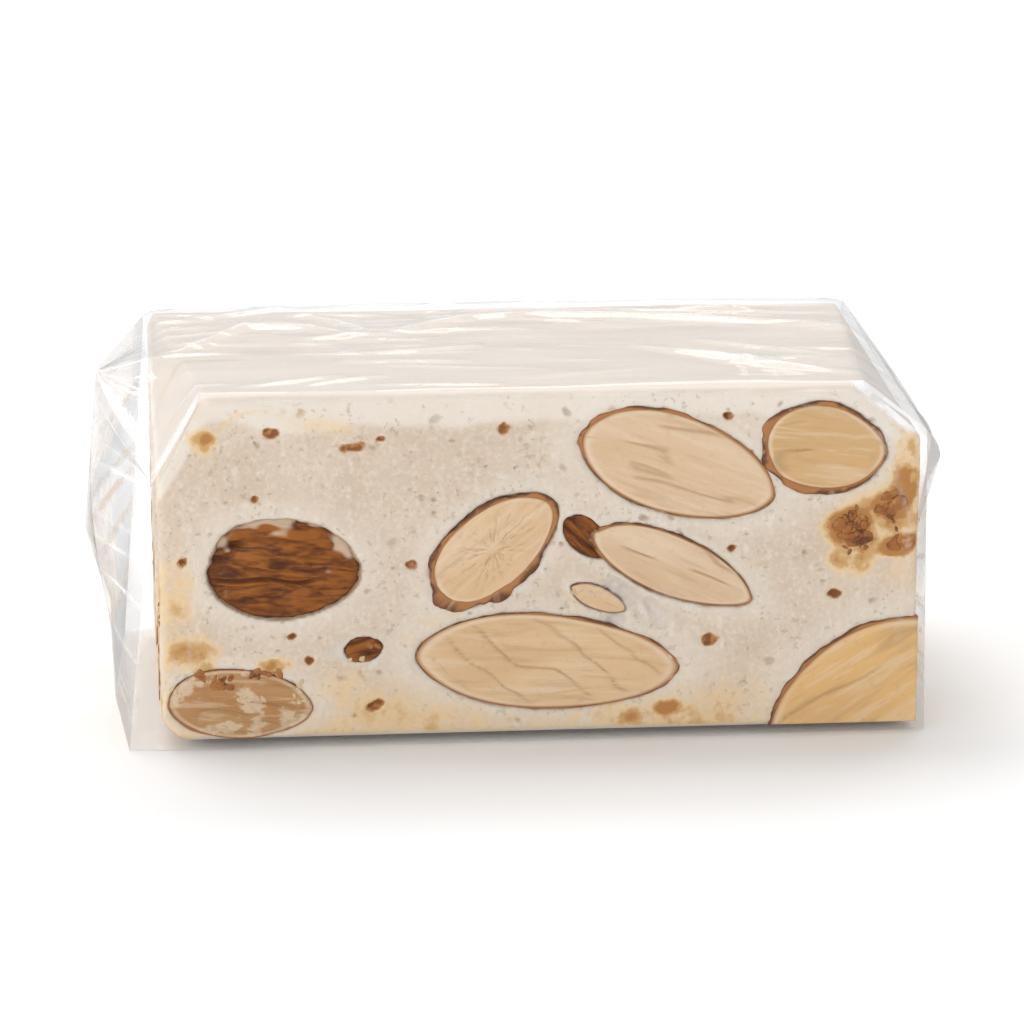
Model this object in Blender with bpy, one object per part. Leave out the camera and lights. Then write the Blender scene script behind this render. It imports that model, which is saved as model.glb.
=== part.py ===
"""A nougat bar sealed in clear film, lying on its broad side.

The bar and its wrapper are one closed solid out to the film. The film lies close to the bar along its
length, and each end of the wrapper is gathered into an upright fin, with a dog-ear where it is widest.
+X runs along the bar, -Y is the front cut face, +Z is up, and the origin is under the middle.
"""

import math

import bmesh
import bpy

MM = 0.001

# The bar
BAR_LENGTH = 66.5 * MM
BAR_DEPTH = 42.0 * MM
BAR_HEIGHT = 30.5 * MM

# The film round it
BASE_LIFT = 0.7 * MM  # the folds under the bar hold it up by this much
SIDE_GAP = 0.4 * MM
TOP_GAP = 0.35 * MM
FOOT_SPREAD = 0.9 * MM  # how far the film's lower edge stands out past its walls
FOOT_HEIGHT = 2.6 * MM
TOP_RADIUS = 1.0 * MM
FOOT_RADIUS = 0.8 * MM
TOP_CROWN = 0.25 * MM
WALL_BOW = 0.15 * MM

# Long folds on top: where each crosses the depth, how high it stands and how wide it is
FOLDS = (
    {"place": 0.58, "sway": 0.10, "waves": 1.3, "height": 0.55 * MM, "width": 1.3 * MM},
    {"place": 0.86, "sway": 0.05, "waves": 2.1, "height": 0.35 * MM, "width": 1.0 * MM},
)

# Each end: the bevel at the bar's top corner, how far the film's foot stands off the bar, and the fin's
# outline as (reach past the bar, height) in millimetres. The bevels are full size at the front face and
# narrow to almost nothing at the back.
BEVEL_AT_BACK = 0.06
FIN_PLACE = -4.0 * MM
FIN_THICKNESS = 0.8 * MM
LEFT_END = {
    "side": -1,
    "bevel_run": 3.8 * MM,
    "bevel_drop": 7.6 * MM,
    "tent": 1.0,
    "flare": 2.4 * MM,
    "fin": ((3.5, 0.4), (3.9, 9.5), (5.9, 16.2), (5.2, 24.0), (4.6, 30.4)),
}
RIGHT_END = {
    "side": 1,
    "bevel_run": 5.2 * MM,
    "bevel_drop": 4.5 * MM,
    "tent": 0.12,
    "flare": 0.3 * MM,
    "fin": ((1.5, 0.4), (1.9, 10.0), (3.1, 17.6), (4.8, 21.0), (4.0, 23.0)),
}

# The pleats that run from the fin to the bar's end
PLEATS = 11
PLEAT_DEPTH = 0.3 * MM

# How finely the solid is divided
BODY_STEPS = 26
BEVEL_STEPS = 3
FIN_STEPS = 6
CORNER_STEPS = 4
WALL_STEPS = 7
TOP_STEPS = 18
BASE_STEPS = 6

FILM_COLOUR = (0.86, 0.78, 0.67, 1.0)
FILM_ROUGHNESS = 0.12


def lerp(a, b, t):
    return a + (b - a) * t


def smooth(t):
    t = min(1.0, max(0.0, t))
    return t * t * (3.0 - 2.0 * t)


def arc(centre, radius, start, steps):
    """Points on a quarter circle in the section's plane, from the angle start, turning clockwise."""
    angles = [math.radians(start - 90.0 * i / steps) for i in range(steps + 1)]
    return [(centre[0] + radius * math.cos(a), centre[1] + radius * math.sin(a)) for a in angles]


def run(start, end, steps):
    """The points strictly between start and end."""
    return [
        (lerp(start[0], end[0], i / steps), lerp(start[1], end[1], i / steps))
        for i in range(1, steps)
    ]


def section():
    """The film's outline across the bar as (y, z) points, clockwise from the middle of the base."""
    half = BAR_DEPTH / 2 + SIDE_GAP
    top = BASE_LIFT + BAR_HEIGHT + TOP_GAP
    front_foot = arc((-half + FOOT_RADIUS, FOOT_RADIUS), FOOT_RADIUS, 270.0, CORNER_STEPS)
    front_top = arc((-half + TOP_RADIUS, top - TOP_RADIUS), TOP_RADIUS, 180.0, CORNER_STEPS)
    back_top = arc((half - TOP_RADIUS, top - TOP_RADIUS), TOP_RADIUS, 90.0, CORNER_STEPS)
    back_foot = arc((half - FOOT_RADIUS, FOOT_RADIUS), FOOT_RADIUS, 0.0, CORNER_STEPS)
    corners = (front_foot, front_top, back_top, back_foot)
    steps = (WALL_STEPS, TOP_STEPS, WALL_STEPS, BASE_STEPS)
    points = []
    for corner, following, count in zip(corners, corners[1:] + corners[:1], steps):
        points += corner + run(corner[-1], following[0], count)
    first = len(points) - BASE_STEPS // 2
    return points[first:] + points[:first]


def bevel_share(y):
    """The size of the bevels at y, as a share of their size at the front face."""
    return lerp(BEVEL_AT_BACK, 1.0, min(1.0, max(0.0, 0.5 - y / BAR_DEPTH)))


def bevel_inset(end, y, z):
    """How far the bar's end is cut back at (y, z) by the bevel on its top corner."""
    drop = end["bevel_drop"] * bevel_share(y)
    low = BASE_LIFT + BAR_HEIGHT - drop
    return end["bevel_run"] * bevel_share(y) * min(1.0, max(0.0, (z - low) / drop))


def fold_height(x, y):
    """How far the long folds lift the film over the bar's top."""
    total = 0.0
    along = x / BAR_LENGTH
    for fold in FOLDS:
        ridge = fold["place"] + fold["sway"] * math.sin(math.tau * fold["waves"] * along)
        offset = (y - lerp(-BAR_DEPTH / 2, BAR_DEPTH / 2, ridge)) / fold["width"]
        total += fold["height"] * math.exp(-offset * offset)
    return total


def body_point(x, y, z):
    """A point of the film over the bar, with its folds, its slight bow and its spread foot."""
    top = BASE_LIFT + BAR_HEIGHT + TOP_GAP
    across = min(1.0, abs(y) / (BAR_DEPTH / 2))
    along = min(1.0, abs(x) / (BAR_LENGTH / 2))
    fade = smooth((1.0 - along) / 0.15)
    if z > top - 0.5 * TOP_RADIUS:
        lift = TOP_CROWN * (1.0 - across**2) * (1.0 - along**2)
        return x, y, z + lift + fade * fold_height(x, y) * smooth((1.0 - across) / 0.1)
    if z > 0.0:
        bow = WALL_BOW * math.sin(math.pi * z / top) * fade
        foot = FOOT_SPREAD * (1.0 - smooth(z / FOOT_HEIGHT)) * smooth(z / (0.5 * FOOT_RADIUS))
        return x, y + math.copysign(bow + foot, y), z
    return x, y, z


def share_from_fin(y):
    """0 on the fin's plane, 1 at the front and the back wall."""
    wall = math.copysign(BAR_DEPTH / 2, y - FIN_PLACE)
    return min(1.0, (y - FIN_PLACE) / (wall - FIN_PLACE))


def end_plane_point(end, y, z):
    """Where the film passes the bar's end: down the bevel, or tented over it towards the fin."""
    drop = end["bevel_drop"] * bevel_share(y)
    corner = BASE_LIFT + BAR_HEIGHT - drop + TOP_GAP
    tent = end["tent"] * drop * (1.0 - share_from_fin(y) ** 1.3)
    flare = end["flare"] * max(0.0, 1.0 - z / corner)
    return end["side"] * (BAR_LENGTH / 2 + SIDE_GAP + flare), y, min(z, corner + tent)


def fin_outline(end, share):
    """The fin's edge at a share of its height, read from the straight edges between its corners."""
    corners = end["fin"]
    height = lerp(corners[0][1], corners[-1][1], share)
    for (low_reach, low), (high_reach, high) in zip(corners, corners[1:]):
        if height <= high:
            t = (height - low) / (high - low)
            return lerp(low_reach, high_reach, t) * MM, height * MM
    return corners[-1][0] * MM, corners[-1][1] * MM


def fin_point(end, y, z):
    """A point of the gathered end, where the whole depth narrows to the fin's thickness."""
    top = BASE_LIFT + BAR_HEIGHT + TOP_GAP
    reach, height = fin_outline(end, min(1.0, z / top))
    return (
        end["side"] * (BAR_LENGTH / 2 + SIDE_GAP + reach),
        FIN_PLACE + FIN_THICKNESS * y / BAR_DEPTH,
        height,
    )


def mix(a, b, t):
    return tuple(lerp(p, q, t) for p, q in zip(a, b))


def pleated(end, point, turn, share):
    """The point moved in or out by the pleats, which fade at the fin, at the bar and at the base."""
    x, y, z = point
    depth = PLEAT_DEPTH * math.sin(math.pi * share) * smooth(z / (0.2 * BAR_HEIGHT))
    return x + end["side"] * depth * math.sin(math.tau * PLEATS * turn), y, z


def end_rings(end, outline):
    """Rings from the bar's bevel out to the fin, nearest the bar first."""
    rings = []
    for step in range(1, BEVEL_STEPS + 1):
        ring = []
        for y, z in outline:
            x = end["side"] * (BAR_LENGTH / 2 - bevel_inset(end, y, z))
            start = body_point(x, y, z)
            ring.append(mix(start, end_plane_point(end, y, z), step / BEVEL_STEPS))
        rings.append(ring)
    last = rings[-1]
    for step in range(1, FIN_STEPS + 1):
        share = step / FIN_STEPS
        ring = [mix(p, fin_point(end, *yz), share) for p, yz in zip(last, outline)]
        count = len(ring)
        rings.append([pleated(end, p, i / count, share) for i, p in enumerate(ring)])
    return rings


def body_rings(outline):
    """Rings along the bar, between the two bevels."""
    rings = []
    for step in range(BODY_STEPS + 1):
        share = step / BODY_STEPS
        ring = []
        for y, z in outline:
            left = -BAR_LENGTH / 2 + bevel_inset(LEFT_END, y, z)
            right = BAR_LENGTH / 2 - bevel_inset(RIGHT_END, y, z)
            ring.append(body_point(lerp(left, right, share), y, z))
        rings.append(ring)
    return rings


def shut_end(mesh, row):
    """Closes an end ring with faces from its front half straight across to its back half."""
    count = len(row)
    for i in range(count // 2):
        corners = (row[i], row[i + 1], row[count - i - 1], row[-i])
        mesh.faces.new(list(dict.fromkeys(corners)))


def film_material():
    material = bpy.data.materials.new("film")
    material.use_nodes = True
    shader = material.node_tree.nodes["Principled BSDF"]
    shader.inputs["Base Color"].default_value = FILM_COLOUR
    shader.inputs["Roughness"].default_value = FILM_ROUGHNESS
    shader.inputs["Metallic"].default_value = 0.0
    return material


def wrapped_bar():
    """One closed solid, skinned over the rings and shut by the two fins' edges."""
    outline = section()
    rings = list(reversed(end_rings(LEFT_END, outline)))
    rings += body_rings(outline) + end_rings(RIGHT_END, outline)
    low = min(p[0] for ring in rings for p in ring)
    high = max(p[0] for ring in rings for p in ring)
    front = min(p[1] for ring in rings for p in ring)
    back = max(p[1] for ring in rings for p in ring)
    middle = ((low + high) / 2, (front + back) / 2)

    mesh = bmesh.new()
    rows = [
        [mesh.verts.new((x - middle[0], y - middle[1], z)) for x, y, z in ring] for ring in rings
    ]
    count = len(outline)
    for row, following in zip(rows, rows[1:]):
        for i in range(count):
            j = (i + 1) % count
            mesh.faces.new((row[i], row[j], following[j], following[i]))
    shut_end(mesh, rows[0])
    shut_end(mesh, rows[-1])
    bmesh.ops.recalc_face_normals(mesh, faces=mesh.faces)

    data = bpy.data.meshes.new("wrapped_bar")
    mesh.to_mesh(data)
    mesh.free()
    data.shade_smooth()
    data.set_sharp_from_angle(angle=math.radians(28.0))
    data.materials.append(film_material())
    bar = bpy.data.objects.new("wrapped_bar", data)
    bpy.context.scene.collection.objects.link(bar)
    return bar


for old in list(bpy.data.objects):
    bpy.data.objects.remove(old, do_unlink=True)
wrapped_bar()
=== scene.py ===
# %% [markdown]
# # A nougat bar in clear film
#
# Soft white nougat is beaten, filled with whole almonds, pressed into a slab and sawn into blocks. The
# block's top and underside are the slab's own pressed faces. Its other four faces are cuts, and each cut
# slices through whatever almonds it meets, so they show as pale ovals with a thin brown rim. The block is
# then sealed in clear film, gathered to a fin at each end.
#
# The model is built from the inside out: the nougat, the almonds in its cuts, the broken bits and the
# crumbs, and last the film. Everything is in metres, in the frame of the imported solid.

import itertools
import math

import bmesh
import bpy
import numpy as np
from mathutils import Matrix, Vector


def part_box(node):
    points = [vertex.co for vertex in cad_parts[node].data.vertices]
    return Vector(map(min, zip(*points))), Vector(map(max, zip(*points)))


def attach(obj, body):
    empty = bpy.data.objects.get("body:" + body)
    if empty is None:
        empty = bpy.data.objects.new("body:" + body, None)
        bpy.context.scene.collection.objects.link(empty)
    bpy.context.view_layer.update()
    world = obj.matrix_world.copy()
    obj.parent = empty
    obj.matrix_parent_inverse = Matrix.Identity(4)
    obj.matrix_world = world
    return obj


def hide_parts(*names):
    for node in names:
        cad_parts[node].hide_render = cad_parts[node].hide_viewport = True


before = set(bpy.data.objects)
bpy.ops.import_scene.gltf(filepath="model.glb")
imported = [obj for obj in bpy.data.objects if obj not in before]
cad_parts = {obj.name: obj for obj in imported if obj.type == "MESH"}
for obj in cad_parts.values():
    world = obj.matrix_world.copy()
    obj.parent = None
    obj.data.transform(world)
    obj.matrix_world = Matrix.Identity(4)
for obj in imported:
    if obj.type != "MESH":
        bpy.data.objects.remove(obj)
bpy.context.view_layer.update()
wrapper_low, wrapper_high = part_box("wrapped_bar")
MM = 0.001
print("packed wrapper, in mm:", [round(side / MM, 1) for side in wrapper_high - wrapper_low])

# %% [markdown]
# ## Sizes
#
# A few driving sizes set everything else. The bar is a block whose top corners are bevelled at both ends
# of its front face, and the bevels narrow to nothing at the back. The film adds a small gap all round,
# and the bar rests a little above the table on the folds beneath it.

# %% Driving sizes
BAR_LENGTH = 66.5 * MM
BAR_DEPTH = 42.0 * MM
BAR_HEIGHT = 30.5 * MM
BASE_LIFT = 0.7 * MM
SIDE_GAP = 0.4 * MM
TOP_GAP = 0.35 * MM
EDGE_RADIUS = 0.8 * MM
BEVEL_AT_BACK = 0.06

# The fin's outline is its corners, as (reach past the bar, height) in millimetres.
LEFT_END = {
    "side": -1,
    "bevel_run": 3.8 * MM,
    "bevel_drop": 7.6 * MM,
    "tent": 1.0,
    "flare": 2.4 * MM,
    # How much white is painted at the film's front top corner at this end, as a highlight.
    "corner_highlight": 0.8,
    "fin": ((3.5, 0.4), (3.9, 9.5), (5.9, 16.2), (5.2, 24.0), (4.6, 30.4)),
}
RIGHT_END = {
    "side": 1,
    "bevel_run": 5.2 * MM,
    "bevel_drop": 4.5 * MM,
    "tent": 0.12,
    "flare": 0.3 * MM,
    "corner_highlight": 1.8,
    "fin": ((1.5, 0.4), (1.9, 10.0), (3.1, 17.6), (4.8, 21.0), (4.0, 23.0)),
}
print("bar volume, in cubic centimetres:", round(BAR_LENGTH * BAR_DEPTH * BAR_HEIGHT * 1e6, 1))

# %% [markdown]
# ## Small helpers
#
# Unevenness comes from a value noise: a fixed pseudo-random number sits on each corner of a grid of
# cells, and points between are blended. It works on a whole array of points at once, and a seed picks
# the pattern, so that each run gives the same bar.


# %% Noise and easing on arrays of points
def ease(low, high, value):
    """0 at low, 1 at high, and a smooth step between; low may be the larger."""
    share = np.clip((value - low) / (high - low), 0.0, 1.0)
    return share * share * (3.0 - 2.0 * share)


def hashed(cells, seed):
    """A fixed number between 0 and 1 for each whole-number cell."""
    mixed = cells[..., 0] * 73856093 ^ cells[..., 1] * 19349663 ^ cells[..., 2] * 83492791
    mixed = (mixed ^ seed * 26544357) & 0x7FFFFFFF
    mixed = (mixed ^ (mixed >> 13)) * 1274126177 & 0x7FFFFFFF
    return ((mixed ^ (mixed >> 15)) & 0xFFFFFF) / 0xFFFFFF


SLANT = np.array(Matrix.Rotation(0.9, 3, Vector((1.0, 2.0, 0.7))))  # so that no lump lines up with a face


def soft_noise(points, size, seed):
    """Smooth noise between -1 and 1, in lumps about size across, or stretched where size is a vector."""
    points = np.asarray(points, float)
    scaled = points @ SLANT / size if np.isscalar(size) else points / size
    cell = np.floor(scaled).astype(np.int64)
    part = scaled - cell
    part = part * part * (3.0 - 2.0 * part)
    total = np.zeros(scaled.shape[:-1])
    for corner in itertools.product((0, 1), repeat=3):
        weight = np.prod(np.where(corner, part, 1.0 - part), axis=-1)
        total += weight * hashed(cell + np.array(corner), seed)
    return 2.0 * total - 1.0


def piece_from(data, material):
    """A smooth-shaded object with one finish, from a mesh that has the piece's name."""
    data.materials.clear()
    data.materials.append(material)
    data.shade_smooth()
    piece = bpy.data.objects.new(data.name, data)
    bpy.context.scene.collection.objects.link(piece)
    return piece


def mesh_object(name, points, faces, material):
    """A piece from an array of points and an array of faces."""
    data = bpy.data.meshes.new(name)
    data.from_pydata(np.asarray(points).tolist(), [], np.asarray(faces).tolist())
    return piece_from(data, material)


def paint(data, name, values):
    """Stores one number for each vertex under a name that a material can read."""
    attribute = data.attributes.new(name, "FLOAT", "POINT")
    attribute.data.foreach_set("value", np.asarray(values, np.float32))


# %% [markdown]
# Both Geometry Nodes and materials are trees of nodes. This helper adds one node in one line: a socket
# or a plain value goes into each named input, and the node's output comes back.


# %% A one-line way to wire nodes
class Wiring:
    """A node tree that is built one step at a time."""

    def __init__(self, tree):
        self.tree = tree

    def add(self, kind, inputs=None, output=0, **settings):
        node = self.tree.nodes.new(kind)
        for name, value in settings.items():
            setattr(node, name, value)
        for key, value in (inputs or {}).items():
            if isinstance(value, bpy.types.NodeSocket):
                self.tree.links.new(value, node.inputs[key])
            else:
                node.inputs[key].default_value = value
        return node.outputs[output] if node.outputs else None

    def math(self, operation, *values, clamp=False):
        inputs = dict(enumerate(values))
        return self.add("ShaderNodeMath", inputs, operation=operation, use_clamp=clamp)

    def total(self, *values):
        result = values[0]
        for value in values[1:]:
            result = self.math("ADD", result, value)
        return result

    def product(self, *values):
        result = values[0]
        for value in values[1:]:
            result = self.math("MULTIPLY", result, value)
        return result

    def scaled(self, vector, sizes):
        return self.add("ShaderNodeVectorMath", {0: vector, 1: sizes}, operation="MULTIPLY")

    def step(self, value, low, high, start=0.0, end=1.0, kind="SMOOTHSTEP"):
        """The value from low to high turned into start to end, and held outside."""
        inputs = {"Value": value, "From Min": low, "From Max": high, "To Min": start, "To Max": end}
        return self.add("ShaderNodeMapRange", inputs, interpolation_type=kind)

    def combine(self, x, y, z):
        return self.add("ShaderNodeCombineXYZ", {0: x, 1: y, 2: z})

    def parts(self, vector):
        """The three coordinates of a vector."""
        node = self.tree.nodes.new("ShaderNodeSeparateXYZ")
        self.tree.links.new(vector, node.inputs[0])
        return node.outputs

    def bump(self, height, strength, distance):
        """Normals tilted by a height, as deep as the distance, in metres."""
        inputs = {"Height": height, "Strength": strength, "Distance": distance}
        return self.add("ShaderNodeBump", inputs)

    def noise(self, position, stretch=(1, 1, 1), scale=1.0, detail=3.0, roughness=0.5, distortion=0.0):
        """A noise pattern about 1 / (scale x stretch) across."""
        inputs = {"Vector": self.scaled(position, stretch), "Scale": scale, "Detail": detail}
        inputs |= {"Roughness": roughness, "Distortion": distortion}
        return self.add("ShaderNodeTexNoise", inputs)


# %% [markdown]
# ## The almonds: where each one lies
#
# The almonds decide how the nougat looks, so they are placed first. Each row below is one almond: the
# face it lies in, its middle along and up that face, its half length and half width, its tilt, how
# pointed its two ends are, how thick its skin shows and which way the thick side of the rim points, how
# warm its flesh is, and how the flesh has cracked. An oblique cut shows a thicker rim on one side.

# %% The cut faces and the almonds in them
UP = Vector((0, 0, 1))
FACES = {
    "front": (Vector((0, -BAR_DEPTH / 2, 0)), Vector((1, 0, 0)), Vector((0, -1, 0))),
    "back": (Vector((0, BAR_DEPTH / 2, 0)), Vector((-1, 0, 0)), Vector((0, 1, 0))),
    "left": (Vector((-BAR_LENGTH / 2, 0, 0)), Vector((0, -1, 0)), Vector((-1, 0, 0))),
    "right": (Vector((BAR_LENGTH / 2, 0, 0)), Vector((0, 1, 0)), Vector((1, 0, 0))),
}
COLUMNS = "face along up long wide tilt tip tail skin lean warmth crack".split()
CUT_ALMONDS = [
    dict(zip(COLUMNS, row))
    for row in (
        ("front", -4.3, 16.6, 6.0, 3.50, 38, 0.05, 0.00, 0.50, 200, 0.35, "star"),
        ("front", 11.8, 23.7, 9.1, 4.10, -19, 0.30, 0.05, 0.20, 150, 0.15, "long"),
        ("front", 24.7, 25.0, 5.1, 3.80, -6, 0.10, 0.00, 0.38, 200, 1.70, "long"),
        ("front", 11.3, 14.8, 7.7, 2.55, -25, 0.25, 0.45, 0.20, 170, 0.05, "long"),
        ("front", 0.3, 6.4, 11.5, 4.15, -3, 0.20, 0.12, 0.16, 30, 0.40, "slant"),
        ("front", 29.4, 2.3, 10.2, 6.30, 31, 0.30, 0.10, 0.18, 120, 1.00, "long"),
        ("front", -26.5, 3.3, 6.4, 2.95, -3, 0.08, 0.10, 0.10, 200, 3.00, "broken"),
        ("front", 4.9, 12.0, 2.5, 1.00, -24, 0.30, 0.30, 0.06, 180, 0.30, "long"),
        ("back", -24.0, 22.0, 8.8, 4.50, 15, 0.30, 0.10, 0.24, 80, 0.40, "long"),
        ("back", -8.6, 23.6, 7.2, 4.10, -20, 0.15, 0.20, 0.30, 200, 0.55, "star"),
        ("back", 7.4, 20.6, 9.4, 4.90, 35, 0.30, 0.05, 0.20, 10, 0.25, "slant"),
        ("back", 23.6, 23.4, 7.6, 4.30, -12, 0.25, 0.10, 0.26, 160, 0.70, "long"),
        ("back", -20.5, 9.6, 8.6, 4.70, -30, 0.35, 0.10, 0.22, 300, 0.50, "slant"),
        ("back", -4.6, 8.6, 6.8, 3.50, 10, 0.20, 0.10, 0.42, 220, 0.60, "star"),
        ("back", 11.6, 6.4, 9.0, 4.20, -8, 0.35, 0.20, 0.22, 40, 0.35, "long"),
        ("back", 27.2, 10.4, 5.4, 4.20, 62, 0.20, 0.05, 0.26, 90, 0.80, "long"),
        ("left", -12.4, 14.2, 7.0, 4.10, 68, 0.25, 0.05, 0.24, 100, 0.45, "long"),
        ("left", 0.6, 8.2, 7.8, 4.40, -14, 0.30, 0.10, 0.22, 180, 0.35, "slant"),
        ("left", 13.6, 6.0, 5.8, 3.60, 28, 0.20, 0.10, 0.30, 20, 0.70, "star"),
        ("right", -15.6, 3.4, 5.4, 5.60, 40, 0.10, 0.10, 0.20, 120, 1.00, "long"),
        ("right", -3.6, 17.6, 8.0, 4.40, -24, 0.30, 0.05, 0.24, 200, 0.40, "long"),
        ("right", 12.2, 18.4, 6.2, 4.00, 52, 0.20, 0.10, 0.28, 140, 0.60, "star"),
        ("right", 5.0, 6.8, 7.6, 3.90, 8, 0.30, 0.15, 0.22, 60, 0.30, "slant"),
    )
]
WHOLE_ALMONDS = [
    dict(zip(COLUMNS, row), skin=0.0, lean=0, warmth=0.0, crack="long")
    for row in (
        ("front", -22.6, 15.2, 6.45, 4.60, -4, 0.03, 0.00),
        ("front", 3.8, 17.5, 2.5, 1.40, -44, 0.20, 0.10),
        ("front", -15.6, 7.9, 1.6, 1.15, 10, 0.20, 0.10),
        ("back", 18.6, 14.0, 5.4, 3.60, 22, 0.15, 0.05),
        ("back", -32.0, 3.2, 4.6, 3.20, 35, 0.10, 0.10),
        ("left", 13.8, 16.2, 5.6, 3.60, 78, 0.15, 0.05),
        ("right", 16.4, 6.8, 4.6, 3.40, 70, 0.15, 0.05),
    )
]


def face_matrix(almond):
    """Turns an almond's own frame, length along X and its cut facing Z, to its place on the bar."""
    origin, along, outward = FACES[almond["face"]]
    place = origin + along * (almond["along"] * MM) + UP * (almond["up"] * MM + BASE_LIFT)
    turn = Matrix((along, UP, outward)).transposed().to_4x4()
    tilt = Matrix.Rotation(math.radians(almond.get("tilt", 0)), 4, "Z")
    return Matrix.Translation(place) @ turn @ tilt


def in_own_frame(points, almond):
    """World points in an almond's own frame."""
    inverse = np.array(face_matrix(almond).inverted())
    return points @ inverse[:3, :3].T + inverse[:3, 3]


print(len(CUT_ALMONDS), "cut almonds and", len(WHOLE_ALMONDS), "with their skin on")

# %% [markdown]
# An almond's outline is an oval with each end more or less pointed, and a few slow waves that differ from
# almond to almond. The same rule is used twice: here on arrays, to know where the nougat stops, and in
# the Geometry Nodes that make the almond.

# %% The outline of an almond
WAVES = ((2, 0.032, 1.0), (3, 0.024, 1.7), (5, 0.010, 2.3))  # waves round it, their height, their phase


def almond_outline(almond, seed, swell=0.0, steps=240):
    """Points round an almond's rim in its own frame, in metres, swollen by its skin and by swell."""
    turn = np.linspace(-math.pi, math.pi, steps)
    waves = 1.0 + sum(height * np.sin(n * turn + seed * phase) for n, height, phase in WAVES)
    cosine, sine = np.cos(turn), np.sin(turn)
    tip, tail = ((1 + cosine) / 2) ** 2, ((1 - cosine) / 2) ** 2
    power = 1.0 + almond["tip"] * tip + almond["tail"] * tail
    more = almond["skin"] + swell
    x = (almond["long"] + more) * MM * cosine * waves
    y = (almond["wide"] + more) * MM * np.sign(sine) * np.abs(sine) ** power * waves
    return x, y


def almond_distance(points, almond, seed, swell=0.0):
    """0 at the almond's middle and 1 on its rim, for points in the plane of its face."""
    x, y = almond_outline(almond, seed, swell)
    angle = np.arctan2(y, x)
    order = np.argsort(angle)
    local = in_own_frame(points, almond)
    reach = np.interp(
        np.arctan2(local[:, 1], local[:, 0]),
        angle[order],
        np.hypot(x, y)[order],
        period=math.tau,
    )
    return np.hypot(local[:, 0], local[:, 1]) / reach


def seed_of(number):
    return number * 3.7 + 1.0


# %% [markdown]
# ## The nougat
#
# The block could be a cube with a texture, but a cut face is never flat: the blade drags the sticky
# paste, tears small holes where air bubbles were, and leaves each almond in its own socket. So the block
# starts as a fine lattice on the surface of a box. The lattice is warped to the bevelled shape, and then
# every point is pushed in by the sockets, pits and drag marks near it. Decimation afterwards keeps the
# triangles where the relief is and saves them where the face is plain.


# %% The lattice on the surface of a block
def lattice_lines(length, spacing):
    return np.linspace(-length / 2, length / 2, int(round(length / spacing)) + 1)


def block_lattice(xs, ys, zs):
    """Points on the six sides of a block and the quads between them, all facing out."""
    shape = (len(xs), len(ys), len(zs))
    index = np.indices(shape).reshape(3, -1).T
    shell = ((index == 0) | (index == np.array(shape) - 1)).any(axis=1)
    number = np.full(shape, -1)
    number.reshape(-1)[shell] = np.arange(shell.sum())
    i, j, k = index[shell].T
    points = np.stack([xs[i], ys[j], zs[k]], axis=1)

    def side(sheet, flip):
        quads = np.stack([sheet[:-1, :-1], sheet[1:, :-1], sheet[1:, 1:], sheet[:-1, 1:]], axis=-1)
        quads = quads.reshape(-1, 4)
        return quads[:, ::-1] if flip else quads

    quads = [
        side(number[:, 0, :], False),
        side(number[:, -1, :], True),
        side(number[0, :, :], True),
        side(number[-1, :, :], False),
        side(number[:, :, 0], True),
        side(number[:, :, -1], False),
    ]
    return points, np.concatenate(quads)


FINE_SPACING = 0.21 * MM
COARSE_SPACING = 0.42 * MM  # across the depth, where the top is plain and the ends show least
lattice, nougat_quads = block_lattice(
    lattice_lines(BAR_LENGTH, FINE_SPACING),
    lattice_lines(BAR_DEPTH, COARSE_SPACING),
    lattice_lines(BAR_HEIGHT, FINE_SPACING),
)
print(len(lattice), "lattice points,", len(nougat_quads), "quads")

# %% [markdown]
# Each lattice point keeps the outward direction of the side it lies on, so that relief can be pushed
# straight into that side. Rounding works by pulling points near an edge onto a small ball round it.


# %% Warp the lattice to the block's own shape
def rounded(points, half, radius):
    """The block's edges rounded: each point is moved to one radius from the smaller block inside."""
    inner = np.clip(points, -(half - radius), half - radius)
    away = points - inner
    away = away / np.maximum(np.linalg.norm(away, axis=1, keepdims=True), 1e-12)
    return inner + away * radius, away


def bevel_share(y):
    """The size of the bevels at y: full at the front face, almost nothing at the back."""
    return BEVEL_AT_BACK + (1.0 - BEVEL_AT_BACK) * np.clip(0.5 - y / BAR_DEPTH, 0.0, 1.0)


def top_height(x, y):
    """The height of the bar's top at (x, y): it falls away over the bevel at each end."""
    height = np.full_like(x, BAR_HEIGHT)
    for end in (LEFT_END, RIGHT_END):
        run = end["bevel_run"] * bevel_share(y)
        out = (end["side"] * x - (BAR_LENGTH / 2 - run)) / run + BEND / 2
        out = np.clip(out, 0.0, 1.0 + BEND / 2)
        share = np.where(out < BEND, out**2 / (2 * BEND), out - BEND / 2)
        height -= end["bevel_drop"] * bevel_share(y) * share
    return height


BEND = 0.45  # how much of each bevel is taken up by its soft bend at the top
WORN_CORNER = 1.8 * MM
WORN_HEIGHT = 2.6 * MM


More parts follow.
